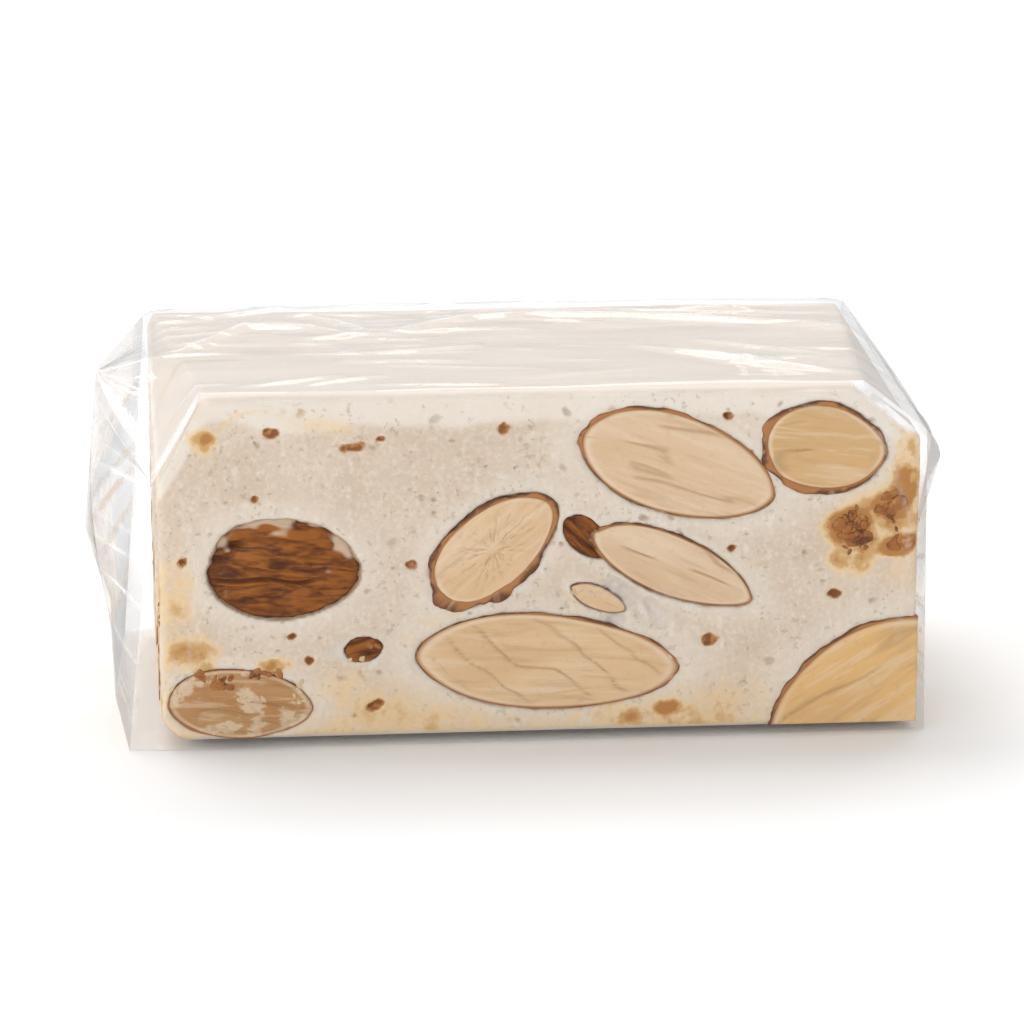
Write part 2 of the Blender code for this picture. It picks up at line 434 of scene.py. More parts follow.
def warped(points):
    """The block sat on its base, with its bevels, its worn lower corner and its slight unevenness."""
    half = np.array([BAR_LENGTH, BAR_DEPTH, BAR_HEIGHT]) / 2
    shaped, outward = rounded(points, half, EDGE_RADIUS)
    x, y, z = shaped.T
    z = (z + BAR_HEIGHT / 2) * top_height(x, y) / BAR_HEIGHT
    worn = np.clip(1.0 - z / WORN_HEIGHT, 0.0, 1.0) ** 2 * ease(0.8, 1.0, -2 * x / BAR_LENGTH)
    x = x + WORN_CORNER * worn
    shaped = np.stack([x, y, z + BASE_LIFT], axis=1)
    drift = soft_noise(shaped, 16 * MM, 5) * 0.14 * MM + soft_noise(shaped, 5 * MM, 6) * 0.05 * MM
    corner = 4.0 * outward[:, 2] ** 2 * (1.0 - outward[:, 2] ** 2)
    drift -= corner * (0.10 + 0.12 * soft_noise(shaped, 2.4 * MM, 7)) * MM
    sides = outward * (1.0 - np.abs(outward[:, 2:]) * ease(0.5, 0.0, z / BAR_HEIGHT)[:, None])
    return shaped + sides * drift[:, None], outward


nougat_points, nougat_outward = warped(lattice)
cut_share = ease(0.55, 0.95, np.hypot(nougat_outward[:, 0], nougat_outward[:, 1]))
print("share of points on cut faces:", round(float(cut_share.mean()), 2))

# %% [markdown]
# Relief on the cuts: a socket under every almond, so that the paste stops at its rim, with a low lip
# where the blade pushed paste up against it. An almond that keeps its skin has shrunk a little from the
# paste, so its socket is deeper, and a thin ring round it is painted dark as shade in that gap.

# %% Sockets
CUT_SOCKET_DEPTH = 0.8 * MM
WHOLE_SOCKET_DEPTH = 2.2 * MM
WHOLE_SLACK = 0.004  # how much wider than its almond such a socket is, as a share
# The dark ring round a whole almond is painted shade.
GAP_REACH = 1.03  # the dark gap round a whole almond ends here, as a share of its reach
GAP_SHADE = 1.4
LIP_HEIGHT = 0.16 * MM
relief = np.zeros(len(nougat_points))
near_almond = np.zeros(len(nougat_points))
gap_shadow = np.zeros(len(nougat_points))
edge_wobble = 0.03 * soft_noise(nougat_points, 1.1 * MM, 9)
edge_wobble += 0.02 * soft_noise(nougat_points, 0.4 * MM, 10)
lip_noise = 0.5 + 0.5 * soft_noise(nougat_points, 2.2 * MM, 8)


def dig_socket(almond, seed, depth, slack):
    """Pushes the face in under an almond, and raises a lip round it."""
    outward = np.array(FACES[almond["face"]][2])
    on_face = nougat_outward @ outward > 0.6
    reach = almond_distance(nougat_points[on_face], almond, seed) + edge_wobble[on_face]
    relief[on_face] -= depth * ease(1.005 + slack, 0.91 + slack, reach)
    lip = ease(1.02, 1.08, reach) * ease(1.35, 1.12, reach) * lip_noise[on_face]
    relief[on_face] += LIP_HEIGHT * lip * cut_share[on_face]
    near_almond[on_face] = np.maximum(near_almond[on_face], ease(1.6, 1.05, reach))
    # Painted shade: a thin dark ring round an almond that keeps its skin.
    if slack:
        gap = ease(GAP_REACH, 1.0, reach - 0.8 * edge_wobble[on_face])
        gap_shadow[on_face] = np.maximum(gap_shadow[on_face], gap)


for number, almond in enumerate(CUT_ALMONDS):
    dig_socket(almond, seed_of(number), CUT_SOCKET_DEPTH, 0.0)
for number, almond in enumerate(WHOLE_ALMONDS):
    dig_socket(almond, seed_of(number), WHOLE_SOCKET_DEPTH, WHOLE_SLACK)

# %% [markdown]
# Bubbles: where the blade opens one, it leaves a small pit. The larger pits have a browner, sugary lining
# and are placed one by one. The small ones come by chance, with a fixed seed, and are painted as shade.

# %% Pits and drag marks
rng = np.random.default_rng(41)
sugared_pit = np.zeros(len(nougat_points))
open_pore_shade = np.zeros(len(nougat_points))
PITS = (
    ("front", -23.5, 27.3, 0.46, 0.35, 1.7, 5),
    ("front", -16.4, 25.9, 0.40, 0.30, 2.5, 12),
    ("front", -14.0, 26.6, 0.24, 0.25, 1.7, 10),
    ("front", -3.3, 27.3, 0.55, 0.25, 1.1, 80),
    ("front", -24.9, 21.5, 0.34, 0.30, 1.1, 0),
    ("front", 14.7, 8.1, 0.55, 0.40, 1.3, 0),
    ("front", -21.8, 9.2, 0.34, 0.50, 1.2, 20),
    ("front", -20.4, 7.0, 0.30, 0.50, 1.2, 20),
    ("front", 25.8, 11.9, 0.34, 0.5, 2.0, 0),
    ("front", 16.2, 28.0, 0.34, 0.6, 1.6, 0),
    ("front", 16.6, 16.2, 0.30, 0.6, 1.4, 10),
    ("front", -11.4, 15.4, 0.42, 0.5, 1.2, 30),
    ("front", -14.6, 2.9, 0.40, 0.5, 2.2, 25),
    ("front", -31.2, 16.0, 0.34, 0.5, 1.3, 80),
    ("back", -14.4, 16.0, 0.55, 0.9, 1.6, 30),
    ("back", 0.6, 27.0, 0.50, 0.9, 2.0, 5),
    ("back", 28.0, 3.6, 0.60, 0.8, 1.3, 60),
    ("left", 4.6, 17.4, 0.55, 0.8, 1.4, 40),
    ("right", -10.4, 10.6, 0.60, 0.8, 1.2, 10),
)


def press_pit(field, face, along, up, radius, depth, stretch, tilt, strength=1.0):
    """Pushes one ragged pit into a face, longer than wide, and marks it in a field."""
    local = in_own_frame(nougat_points, {"face": face, "along": along, "up": up, "tilt": tilt})
    close = np.abs(local).max(axis=1) < radius * stretch * 1.6 * MM
    x, y, _ = local[close].T / (radius * MM)
    share = np.hypot(x / stretch, y)
    share *= 1.0 + 0.35 * soft_noise(nougat_points[close], 0.5 * MM, 13)
    relief[close] -= depth * MM * ease(1.15, 0.35, share)
    field[close] = np.maximum(field[close], strength * ease(1.2, 0.8, share))


for pit in PITS:
    press_pit(sugared_pit, *pit)
# Smooth shallow dents: glossier, with a painted highlight in their colour.
DENTS = (
    ("front", 7.6, 12.0, 1.15, 0.80, 2.2, -38),
    ("front", 10.2, 10.5, 0.85, 0.70, 1.9, -50),
    ("front", 6.4, 9.9, 0.80, 0.55, 1.6, 10),
    ("front", -17.6, 7.6, 0.80, 0.30, 1.8, -12),
    ("back", 2.0, 13.6, 0.90, 0.40, 2.2, -30),
    ("right", 4.6, 24.0, 0.90, 0.40, 2.2, 20),
)
smooth_dent = np.zeros(len(nougat_points))
for dent in DENTS:
    press_pit(smooth_dent, *dent)
FACE_WIDTHS = {"front": BAR_LENGTH, "back": BAR_LENGTH, "left": BAR_DEPTH, "right": BAR_DEPTH}
SMALL_PITS_PER_MM = 2.6
small_pits = 0
for face, width in FACE_WIDTHS.items():
    for _ in range(int(width / MM * SMALL_PITS_PER_MM)):
        along, up = rng.uniform(-0.48, 0.48) * width / MM, rng.uniform(0.6, 29.5)
        radius, depth = 0.07 + 0.24 * rng.random() ** 3, rng.uniform(0.12, 0.32)
        shape = (rng.uniform(1.0, 2.0), rng.normal(0, 25))
        press_pit(open_pore_shade, face, along, up, radius, depth, *shape, strength=rng.uniform(0.2, 1.0))
        small_pits += 1

relief += cut_share * soft_noise(nougat_points, 1.4 * MM, 11) * 0.030 * MM
relief += cut_share * soft_noise(nougat_points, 0.6 * MM, 12) * 0.022 * MM
print(len(PITS), "named pits and", small_pits, "small ones")

# %% [markdown]
# The paste isn't one colour. A paler band a few millimetres under the top of each cut is painted light:
# the top edge of the cut shows brighter there. Oil from the nuts stains the lower edge and the ends, and
# here and there an almond lies just under the surface and shines through. Each of these is a field of
# numbers on the points, and the finish mixes them with its own fine noise.

# %% Stains for the nougat's finish
x, y, z = nougat_points.T
height_share = (z - BASE_LIFT) / np.maximum(top_height(x, y), 1e-6)
blotch = 0.5 + 0.5 * soft_noise(nougat_points, 4.5 * MM, 21)
fine_blotch = 0.5 + 0.5 * soft_noise(nougat_points, 1.2 * MM, 22)
below_top = (1.0 - height_share) * BAR_HEIGHT / MM + 1.2 * (blotch - 0.5) + 0.6 * (fine_blotch - 0.5)
# Painted light: a paler band just under the top of each cut.
painted_light_below_top = ease(3.1, 2.3, below_top) * cut_share
lower_stain = ease(0.30, 0.0, height_share) * (0.45 + 0.55 * blotch)
end_stain = ease(0.42, 0.5, np.abs(x) / BAR_LENGTH) * ease(0.9, 0.3, height_share) * blotch
stain = np.clip(0.90 * lower_stain + 0.75 * end_stain, 0.0, 1.0) * cut_share


def stain_spot(face, along, up, radius, strength, stretch=1.0, tilt=0):
    """Adds a soft oval stain with a broken edge to a cut face."""
    local = in_own_frame(nougat_points, {"face": face, "along": along, "up": up, "tilt": tilt})
    away = np.linalg.norm(local / np.array([stretch, 1.0, 1.0]), axis=1) / (radius * MM)
    away *= 0.4 + 0.5 * fine_blotch + 0.6 * blotch
    np.maximum(stain, 1.15 * strength * ease(1.05, 0.2, away), out=stain)


def stain_arc(face, along, up, long, wide, strength):
    """Adds the upper half of a thin oval line, where the rim of a buried almond shines through."""
    local = in_own_frame(nougat_points, {"face": face, "along": along, "up": up}) / MM
    share = np.hypot(local[:, 0] / long, local[:, 1] / wide)
    line = ease(0.12, 0.03, np.abs(share - 1.0)) * (local[:, 1] > 0) * (np.abs(local[:, 2]) < 2.0)
    np.maximum(stain, strength * line * (0.4 + 0.6 * blotch), out=stain)


for spot in (
    ("front", -29.0, 26.9, 1.5, 1.2),
    ("front", 32.0, 24.2, 1.5, 1.0, 1.9, 80),
    ("front", 31.8, 22.2, 2.0, 1.8, 1.5, 75),
    ("front", 30.9, 20.2, 1.9, 3.6, 1.7, 42),
    ("front", 27.6, 18.1, 2.0, 3.4, 1.2, 15),
    ("front", 31.5, 16.2, 1.2, 3.4, 2.0, 12),
    ("front", 27.2, 14.8, 1.6, 1.0, 1.5, -15),
    ("front", 29.6, 18.8, 4.2, 1.25, 1.2, 45),
    ("front", 7.6, 1.8, 1.8, 1.5, 2.6, -3),
    ("front", 11.0, 2.1, 1.4, 2.6, 1.8, 4),
    ("front", -8.2, 10.4, 1.4, 0.5, 2.4, 0),
    ("front", 4.2, 12.4, 2.2, 0.5),
    ("front", -31.4, 13.0, 2.4, 0.6, 1.8, 90),
    ("front", -30.4, 7.6, 2.6, 1.05, 1.3, -24),
    ("front", -29.4, 6.3, 1.3, 2.4, 1.3, 20),
    ("front", -23.6, 6.6, 0.8, 2.6, 2.6, 3),
    ("front", -18.6, 27.9, 1.0, 0.28, 3.6, -6),
    ("front", 6.0, 28.6, 0.7, 0.35, 4.0, 2),
    ("front", -11.5, 8.6, 1.0, 0.55, 2.2, 0),
    ("back", 14.0, 27.4, 3.4, 0.6),
    ("back", -30.0, 15.0, 3.2, 0.6),
    ("left", 18.0, 12.0, 4.0, 0.9),
    ("left", 16.8, 24.0, 2.4, 0.9),
    ("right", -18.0, 19.0, 4.4, 0.9),
):
    stain_spot(*spot)
stain_arc("front", -24.6, 26.6, 3.6, 2.6, 0.35)
stain_arc("back", 12.0, 26.8, 3.8, 2.4, 0.6)
print("mean stain:", round(float(stain.mean()), 3))

# %% [markdown]
# ## The nougat's finish
#
# On the cuts the paste is a warm off-white with faint mottling, specks of pore shadow and a matt skin. On
# the pressed faces it is smoother and paler, with thin tan streaks along the bar, where the slab was
# rolled against its paper. One material does both and reads which face it is on from the points. Light
# sinks in a little, so it has some subsurface scattering.


# %% Shorthand for materials
def new_finish(name):
    """A material with only a Principled shader, its wiring, and that shader's node."""
    material = bpy.data.materials.new(name)
    material.use_nodes = True
    wiring = Wiring(material.node_tree)
    return material, wiring, material.node_tree.nodes["Principled BSDF"]


def feed(wiring, shader, **inputs):
    """Sets or links inputs of a shader, named with underscores for spaces."""
    for name, value in inputs.items():
        socket = shader.inputs[name.replace("_", " ")]
        if isinstance(value, bpy.types.NodeSocket):
            wiring.tree.links.new(value, socket)
        else:
            socket.default_value = value


def blend(wiring, share, low, high):
    """A colour between two colours."""
    inputs = {"Factor": share, 6: low, 7: high}
    return wiring.add("ShaderNodeMix", inputs, output=2, data_type="RGBA")


def stored(wiring, name):
    """The number that the points carry under this name."""
    return wiring.add("ShaderNodeAttribute", output=2, attribute_name=name)


def on_object(wiring):
    """The place on the object, in metres."""
    return wiring.add("ShaderNodeTexCoord", output=3)


# %% Material: nougat
CREAM = (0.785, 0.657, 0.525, 1)
CREAM_SHADE = (0.725, 0.590, 0.455, 1)
CREAM_PALE = (0.91, 0.84, 0.75, 1)
PRESSED = (0.83, 0.740, 0.650, 1)
STREAK = (0.68, 0.49, 0.30, 1)
BUTTER = (0.90, 0.65, 0.35, 1)
OIL_STAIN = (0.64, 0.36, 0.12, 1)
GRIT = (0.60, 0.49, 0.38, 1)
# Painted shade in pores, in the small pits and in the gap round whole almonds.
PORE_SHADE = (0.35, 0.235, 0.135, 1)
CARAMELISED = (0.50, 0.205, 0.045, 1)
BURNT = (0.22, 0.075, 0.020, 1)
# The white painted into the smooth dents as a highlight.
PAINTED_HIGHLIGHT = (0.87, 0.80, 0.72, 1)


def pore_pattern(wire, position):
    """1 inside fine ragged pores and 0 outside; the finest come in patches."""
    fine = wire.step(wire.noise(position, scale=1700, detail=2.5, roughness=0.6), 0.60, 0.68)
    coarse = wire.step(wire.noise(position, scale=640, detail=3, roughness=0.62), 0.68, 0.74)
    patch = wire.step(wire.noise(position, scale=300, detail=1), 0.34, 0.56)
    return wire.math("MAXIMUM", wire.product(fine, patch), coarse)


def nougat_finish():
    material, wire, shader = new_finish("nougat")
    position = on_object(wire)
    mottle = wire.noise(position, scale=210, detail=6, roughness=0.66)
    flecks = wire.step(wire.noise(position, scale=900, detail=3), 0.58, 0.70)
    base = blend(wire, wire.step(mottle, 0.34, 0.64), CREAM_SHADE, CREAM)
    base = blend(wire, wire.product(flecks, 0.45), base, CREAM_PALE)
    grit = wire.noise(position, scale=2300, detail=3, roughness=0.7)
    base = blend(wire, wire.step(grit, 0.47, 0.66, 0.0, 0.28), base, GRIT)
    base = blend(wire, wire.step(grit, 0.47, 0.36, 0.0, 0.30), base, CREAM_PALE)
    # Paler paste near the almonds, and painted light just under the top of the cuts.
    base = blend(wire, wire.product(stored(wire, "pale_and_painted_light"), 0.8), base, CREAM_PALE)
    pores = pore_pattern(wire, position)
    # Painted shade: dark specks in the pores, the small pits and the gap round whole almonds.
    base = blend(wire, wire.product(pores, 0.32), base, PORE_SHADE)
    base = blend(wire, wire.product(stored(wire, "pore_and_gap_shade"), 0.62), base, PORE_SHADE)

    broken = wire.step(wire.noise(position, scale=520, detail=5, roughness=0.6), 0.3, 0.7, 0.4, 1.4)
    amount = wire.product(stored(wire, "stain"), broken)
    base = blend(wire, wire.step(amount, 0.0, 0.55, 0.0, 0.72), base, BUTTER)
    base = blend(wire, wire.step(amount, 0.45, 1.0, 0.0, 0.85), base, OIL_STAIN)
    base = blend(wire, wire.step(amount, 1.0, 1.6, 0.0, 0.85), base, CARAMELISED)
    ragged = wire.noise(position, scale=1300, detail=3)
    pit = wire.product(stored(wire, "pit"), wire.step(ragged, 0.32, 0.62, 0.5, 1.15))
    base = blend(wire, wire.step(pit, 0.0, 0.7, 0.0, 0.95), base, CARAMELISED)
    base = blend(wire, wire.step(pit, 0.72, 1.0, 0.0, 0.75), base, BURNT)
    # A painted highlight: the smooth dents are whitened.
    base = blend(wire, wire.product(stored(wire, "wet_and_highlight"), 0.60), base, PAINTED_HIGHLIGHT)

    streak = wire.noise(position, stretch=(45, 380, 45), detail=5, distortion=0.4)
    smear = wire.noise(position, stretch=(36, 90, 36))
    streaks = wire.product(wire.step(streak, 0.52, 0.74), wire.step(smear, 0.46, 0.62))
    pressed = blend(wire, wire.product(streaks, 0.7), PRESSED, STREAK)
    colour = blend(wire, stored(wire, "cut"), pressed, base)

    grain = wire.noise(position, scale=2400, roughness=0.6)
    bumps = wire.total(wire.product(pores, -0.5), wire.product(grain, 0.4), wire.product(mottle, 1.2))
    bumps = wire.product(bumps, wire.step(stored(wire, "cut"), 0.0, 1.0, 0.3, 1.0))
    dry = wire.step(mottle, 0.3, 0.7, 0.5, 0.62)
    feed(
        wire,
        shader,
        Base_Color=colour,
        Roughness=wire.math("MULTIPLY_ADD", stored(wire, "wet_and_highlight"), -0.36, dry),
        Normal=wire.bump(bumps, 0.55, 0.12 * MM),
        Subsurface_Weight=0.2,
        Subsurface_Radius=(0.0020, 0.0014, 0.0009),
        Subsurface_Scale=1.0,
        IOR=1.45,
    )
    return material


nougat_material = nougat_finish()
print("nougat finish:", len(nougat_material.node_tree.nodes), "nodes")

# %% [markdown]
# The lattice becomes a mesh, gets its stored fields, and is thinned to at most a set number of triangles.


# %% Build the nougat
MOST_TRIANGLES = 190_000


def thinned(piece, most):
    """The piece with its triangles brought down to at most this many, plain areas first."""
    piece.data.calc_loop_triangles()
    count = len(piece.data.loop_triangles)
    if count <= most:
        return
    thin = piece.modifiers.new("thin", "DECIMATE")
    thin.ratio = most / count
    graph = bpy.context.evaluated_depsgraph_get()
    data = bpy.data.meshes.new_from_object(piece.evaluated_get(graph), depsgraph=graph)
    piece.modifiers.remove(thin)
    old = piece.data
    piece.data = data
    bpy.data.meshes.remove(old)


nougat_points = nougat_points + nougat_outward * relief[:, None]
nougat = mesh_object("nougat_block", nougat_points, nougat_quads, nougat_material)
# Paler paste near the almonds, and the painted light under the top of the cuts.
pale_and_painted_light = np.maximum(painted_light_below_top, 0.5 * near_almond * cut_share)
stain *= 1.0 - 0.6 * near_almond
fields = {"stain": stain, "cut": cut_share, "pale_and_painted_light": pale_and_painted_light, "pit": sugared_pit, "wet_and_highlight": smooth_dent}
# Painted shade of the small pits and of the gap round whole almonds.
fields["pore_and_gap_shade"] = np.maximum(open_pore_shade, GAP_SHADE * gap_shadow)
for name, values in fields.items():
    paint(nougat.data, name, values)
thinned(nougat, MOST_TRIANGLES)
print("nougat_block:", len(nougat.data.polygons), "faces")

# %% [markdown]
# ## Cut almonds by Geometry Nodes
#
# Every cut almond follows the same rule: an oval face that dries and cracks in lines, and a paper-thin
# skin round it that shows as a rim. A rule that repeats is what Geometry Nodes are for. A flat grid is
# bent to polar form: across the grid is the way round the almond, and up the grid runs from its middle to
# its rim, down its side and across its hidden back.


# %% Geometry Nodes: shared steps
def new_recipe(name, sizes):
    """An empty Geometry Nodes tree with named inputs, and its group inputs by name."""
    tree = bpy.data.node_groups.new(name, "GeometryNodeTree")
    tree.interface.new_socket("Geometry", in_out="INPUT", socket_type="NodeSocketGeometry")
    for size, value in sizes.items():
        kind = "NodeSocketInt" if isinstance(value, int) else "NodeSocketFloat"
        tree.interface.new_socket(size, in_out="INPUT", socket_type=kind).default_value = value
    tree.interface.new_socket("Finish", in_out="INPUT", socket_type="NodeSocketMaterial")
    tree.interface.new_socket("Geometry", in_out="OUTPUT", socket_type="NodeSocketGeometry")
    given = tree.nodes.new("NodeGroupInput")
    return Wiring(tree), {socket.name: socket for socket in given.outputs if socket.name}


def finish_recipe(wire, geometry, finish):
    """Ends a tree: instances made real, then the finish set, then out."""
    real = wire.add("GeometryNodeRealizeInstances", {0: geometry})
    done = wire.add("GeometryNodeSetMaterial", {"Geometry": real, "Material": finish})
    wire.tree.links.new(done, wire.tree.nodes.new("NodeGroupOutput").inputs[0])
    return wire.tree


def cook(tree, name, source=None, **values):
    """Runs a tree once with these inputs and returns the result as a plain mesh."""
    data = source.data if source else bpy.data.meshes.new(name)
    holder = bpy.data.objects.new(name, data)
    bpy.context.scene.collection.objects.link(holder)
    modifier = holder.modifiers.new("recipe", "NODES")
    modifier.node_group = tree
    wanted = {key.replace("_", " "): value for key, value in values.items()}
    for item in tree.interface.items_tree:
        if item.in_out == "INPUT" and item.name in wanted:
            modifier[item.identifier] = wanted[item.name]
    graph = bpy.context.evaluated_depsgraph_get()
    cooked = bpy.data.meshes.new_from_object(holder.evaluated_get(graph), depsgraph=graph)
    bpy.data.objects.remove(holder)
    return cooked


def store(wire, mesh, name, value):
    """Keeps a number or a vector on the points, for the finish to read. It comes before any move,
    because every number here is worked out from the flat grid."""
    kind = "FLOAT_VECTOR" if value.type == "VECTOR" else "FLOAT"
    inputs = {"Geometry": mesh, "Name": name, "Value": value}
    return wire.add("GeometryNodeStoreNamedAttribute", inputs, data_type=kind, domain="POINT")


SEAM_GAP = 0.002 * MM  # points closer than this are merged, which closes the seams


def shaped(wire, given, mesh, numbers, place):
    """Ends a tree: the numbers stored, the grid moved to its place, and its seams closed."""
    for name, value in numbers.items():
        mesh = store(wire, mesh, name, value)
    mesh = wire.add("GeometryNodeSetPosition", {"Geometry": mesh, "Position": place})
    mesh = wire.add("GeometryNodeMergeByDistance", {"Geometry": mesh, "Distance": SEAM_GAP})
    return finish_recipe(wire, mesh, given["Finish"])


def polar_grid(wire, given):
    """A grid, and two numbers on it: the turn round the almond, and the row as a share from 0 to 1."""
    mesh = wire.add("GeometryNodeMeshGrid", {0: 1.0, 1: 1.0, 2: given["Columns"], 3: given["Rows"]})
    parts = wire.parts(wire.add("GeometryNodeInputPosition"))
    turn = wire.product(parts[0], math.tau)
    return mesh, turn, wire.total(parts[1], 0.5)


def oval(wire, given, turn):
    """The almond's rim at this turn, by the same rule as almond_outline."""
    waves = 1.0
    for count, height, phase in WAVES:
        phase = wire.product(given["Seed"], phase)
        wave = wire.math("SINE", wire.total(wire.product(turn, float(count)), phase))
        waves = wire.math("MULTIPLY_ADD", wave, height, waves)
    cosine, sine = wire.math("COSINE", turn), wire.math("SINE", turn)
    tip = wire.math("POWER", wire.math("MULTIPLY_ADD", cosine, 0.5, 0.5), 2.0)
    tail = wire.math("POWER", wire.math("MULTIPLY_ADD", cosine, -0.5, 0.5), 2.0)
    power = wire.total(wire.product(tip, given["Tip"]), wire.product(tail, given["Tail"]), 1.0)
    bulge = wire.math("POWER", wire.math("ABSOLUTE", sine), power)
    across = wire.product(bulge, wire.math("SIGN", sine), given["Half Width"], waves)
    return wire.product(cosine, given["Half Length"], waves), across


def shell_rows(wire, row):
    """From the row: how far out from the middle, and how far down the side, each from 0 to 1."""
    out = wire.step(row, 0.0, 0.80, kind="LINEAR")
    back = wire.step(row, 0.93, 1.0, 1.0, 0.0, kind="LINEAR")
    return wire.product(out, back), wire.step(row, 0.82, 0.92, kind="LINEAR")


OVAL_SIZES = {"Half Length": 8.0 * MM, "Half Width": 4.0 * MM, "Tip": 0.2, "Tail": 0.1, "Seed": 1.0}

# %% [markdown]
# The flesh: ridges of dry grain run along the almond, and cracks open in one of three ways: a few long
# ones with the grain, a family of slanting ones, or a star from the middle. All are read in the
# almond's own frame from noise, so no two are alike. Its own coordinates are stored for the finish,
# which draws its grain the same way.


# %% Geometry Nodes: the flesh of a cut almond
def slanted_cracks(wire, given, own, turn_by):
    """Wavy parallel cracks that cross the almond at the given turn."""
    turned = wire.add("ShaderNodeVectorRotate", {"Vector": own, "Angle": turn_by}, rotation_type="Z_AXIS")
    parts = wire.parts(turned)
    wave = wire.noise(own, stretch=(130, 130, 100), detail=2)
    place = wire.total(wire.product(parts[1], 330.0), wire.product(wave, 1.9), given["Seed"])
    off = wire.math("ABSOLUTE", wire.math("SUBTRACT", wire.math("FRACT", place), 0.5))
    broken = wire.step(wire.noise(own, scale=120, detail=1), 0.28, 0.40)
    return wire.product(wire.step(off, 0.055, 0.0), broken)


def star_cracks(wire, given, turn, out):
    """Cracks from the middle outwards."""
    around = wire.combine(wire.math("COSINE", turn), wire.math("SINE", turn), given["Seed"])
    wave = wire.noise(around, stretch=(1.4, 1.4, 1), detail=3)
    wander = wire.noise(wire.combine(turn, out, given["Seed"]), stretch=(2, 5, 1), detail=2)
    spokes = wire.total(wire.product(wave, 34.0), wire.product(wander, 3.0))
    line = wire.step(wire.math("ABSOLUTE", wire.math("SINE", spokes)), 0.35, 0.0)
    return wire.product(line, wire.step(out, 0.92, 0.5, 0.0, 0.6), wire.step(out, 0.02, 0.2))


def flesh_recipe():
    sizes = OVAL_SIZES | {"Depth": 1.3 * MM, "Grain": 0.06 * MM, "Crack": 0.20 * MM}
    sizes |= {"Long": 1.0, "Slant": 0.0, "Star": 0.0, "Columns": 128, "Rows": 44}
    wire, given = new_recipe("cut almond flesh", sizes)
    mesh, turn, row = polar_grid(wire, given)
    along, across = oval(wire, given, turn)
    out, side = shell_rows(wire, row)
    u, v = wire.product(along, out), wire.product(across, out)

    own = wire.combine(u, v, wire.product(given["Seed"], 0.05))
    grain = wire.noise(own, stretch=(110, 900, 100))
    rift = wire.noise(own, stretch=(70, 300, 100), detail=1.5, distortion=0.6)
    rift = wire.step(wire.math("ABSOLUTE", wire.math("SUBTRACT", rift, 0.5)), 0.03, 0.0)
    where = wire.step(wire.noise(own, scale=190, detail=0), 0.48, 0.60)
    cracks = wire.total(
        wire.product(rift, where, given["Long"]),
        wire.product(slanted_cracks(wire, given, own, 0.64), given["Slant"], wire.step(out, 0.98, 0.8)),
        wire.product(star_cracks(wire, given, turn, out), given["Star"]),
    )
    fade = wire.product(wire.math("SUBTRACT", 1.0, side), wire.step(out, 1.0, 0.93))
    crack = wire.product(cracks, fade)
    low = wire.total(
        wire.product(grain, given["Grain"], fade),
        wire.product(crack, given["Crack"]),
        wire.step(out, 0.90, 1.0, 0.0, 0.10 * MM),
        wire.product(side, given["Depth"]),
    )
    numbers = {"own": own, "rim": out, "crack": crack}
    return shaped(wire, given, mesh, numbers, wire.combine(u, v, wire.product(low, -1.0)))


flesh_tree = flesh_recipe()
print("flesh recipe:", len(flesh_tree.nodes), "nodes")

# %% [markdown]
# The skin: the same outline, with a small ring swept round it. The grid's rows run once round the
# ring's section, so first and last row meet and are merged. The ring is thicker on the side where the
# blade met the skin at a slant.


# %% Geometry Nodes: the skin rim of a cut almond
def skin_recipe():
    sizes = OVAL_SIZES | {"Depth": 1.2 * MM, "Skin": 0.3 * MM, "Lean": 0.0, "Columns": 160, "Rows": 11}
    wire, given = new_recipe("almond skin rim", sizes)
    mesh, turn, row = polar_grid(wire, given)
    along, across = oval(wire, given, turn)
    section = wire.product(row, math.tau)
    toward = wire.math("COSINE", wire.math("SUBTRACT", turn, given["Lean"]))
    uneven = wire.noise(wire.combine(along, across, given["Seed"]), scale=420, detail=2)
    lean = wire.math("POWER", wire.math("MULTIPLY_ADD", toward, 0.5, 0.5), 2.5)
    thick = wire.product(
        wire.math("MULTIPLY_ADD", lean, 1.1, 0.72),
        wire.step(uneven, 0.3, 0.7, 0.35, 1.5),
        given["Skin"],
    )
    squares = wire.total(wire.math("POWER", along, 2.0), wire.math("POWER", across, 2.0))
    outward = wire.math("MULTIPLY_ADD", wire.math("COSINE", section), 0.60, 0.40)
    scale = wire.math("DIVIDE", wire.product(outward, thick), wire.math("SQRT", squares))
    scale = wire.total(scale, 1.0)
    rise = wire.math("SINE", section)
    ridge = wire.step(uneven, 0.2, 0.8, 0.05 * MM, 0.15 * MM)
    crest = wire.product(wire.math("MAXIMUM", rise, 0.0), ridge)
    keel = wire.product(wire.math("MINIMUM", rise, 0.0), given["Depth"])
    height = wire.total(crest, keel, -0.08 * MM)
    own = wire.combine(wire.product(turn, 0.004), wire.product(row, 0.002), given["Seed"])
    numbers = {"own": own, "outer": wire.math("COSINE", section)}
    place = wire.combine(wire.product(along, scale), wire.product(across, scale), height)
    return shaped(wire, given, mesh, numbers, place)


skin_tree = skin_recipe()
print("skin recipe:", len(skin_tree.nodes), "nodes")

# %% [markdown]
# A whole almond shows its brown skin: a low dome, puckered into wrinkles that run from end to end.


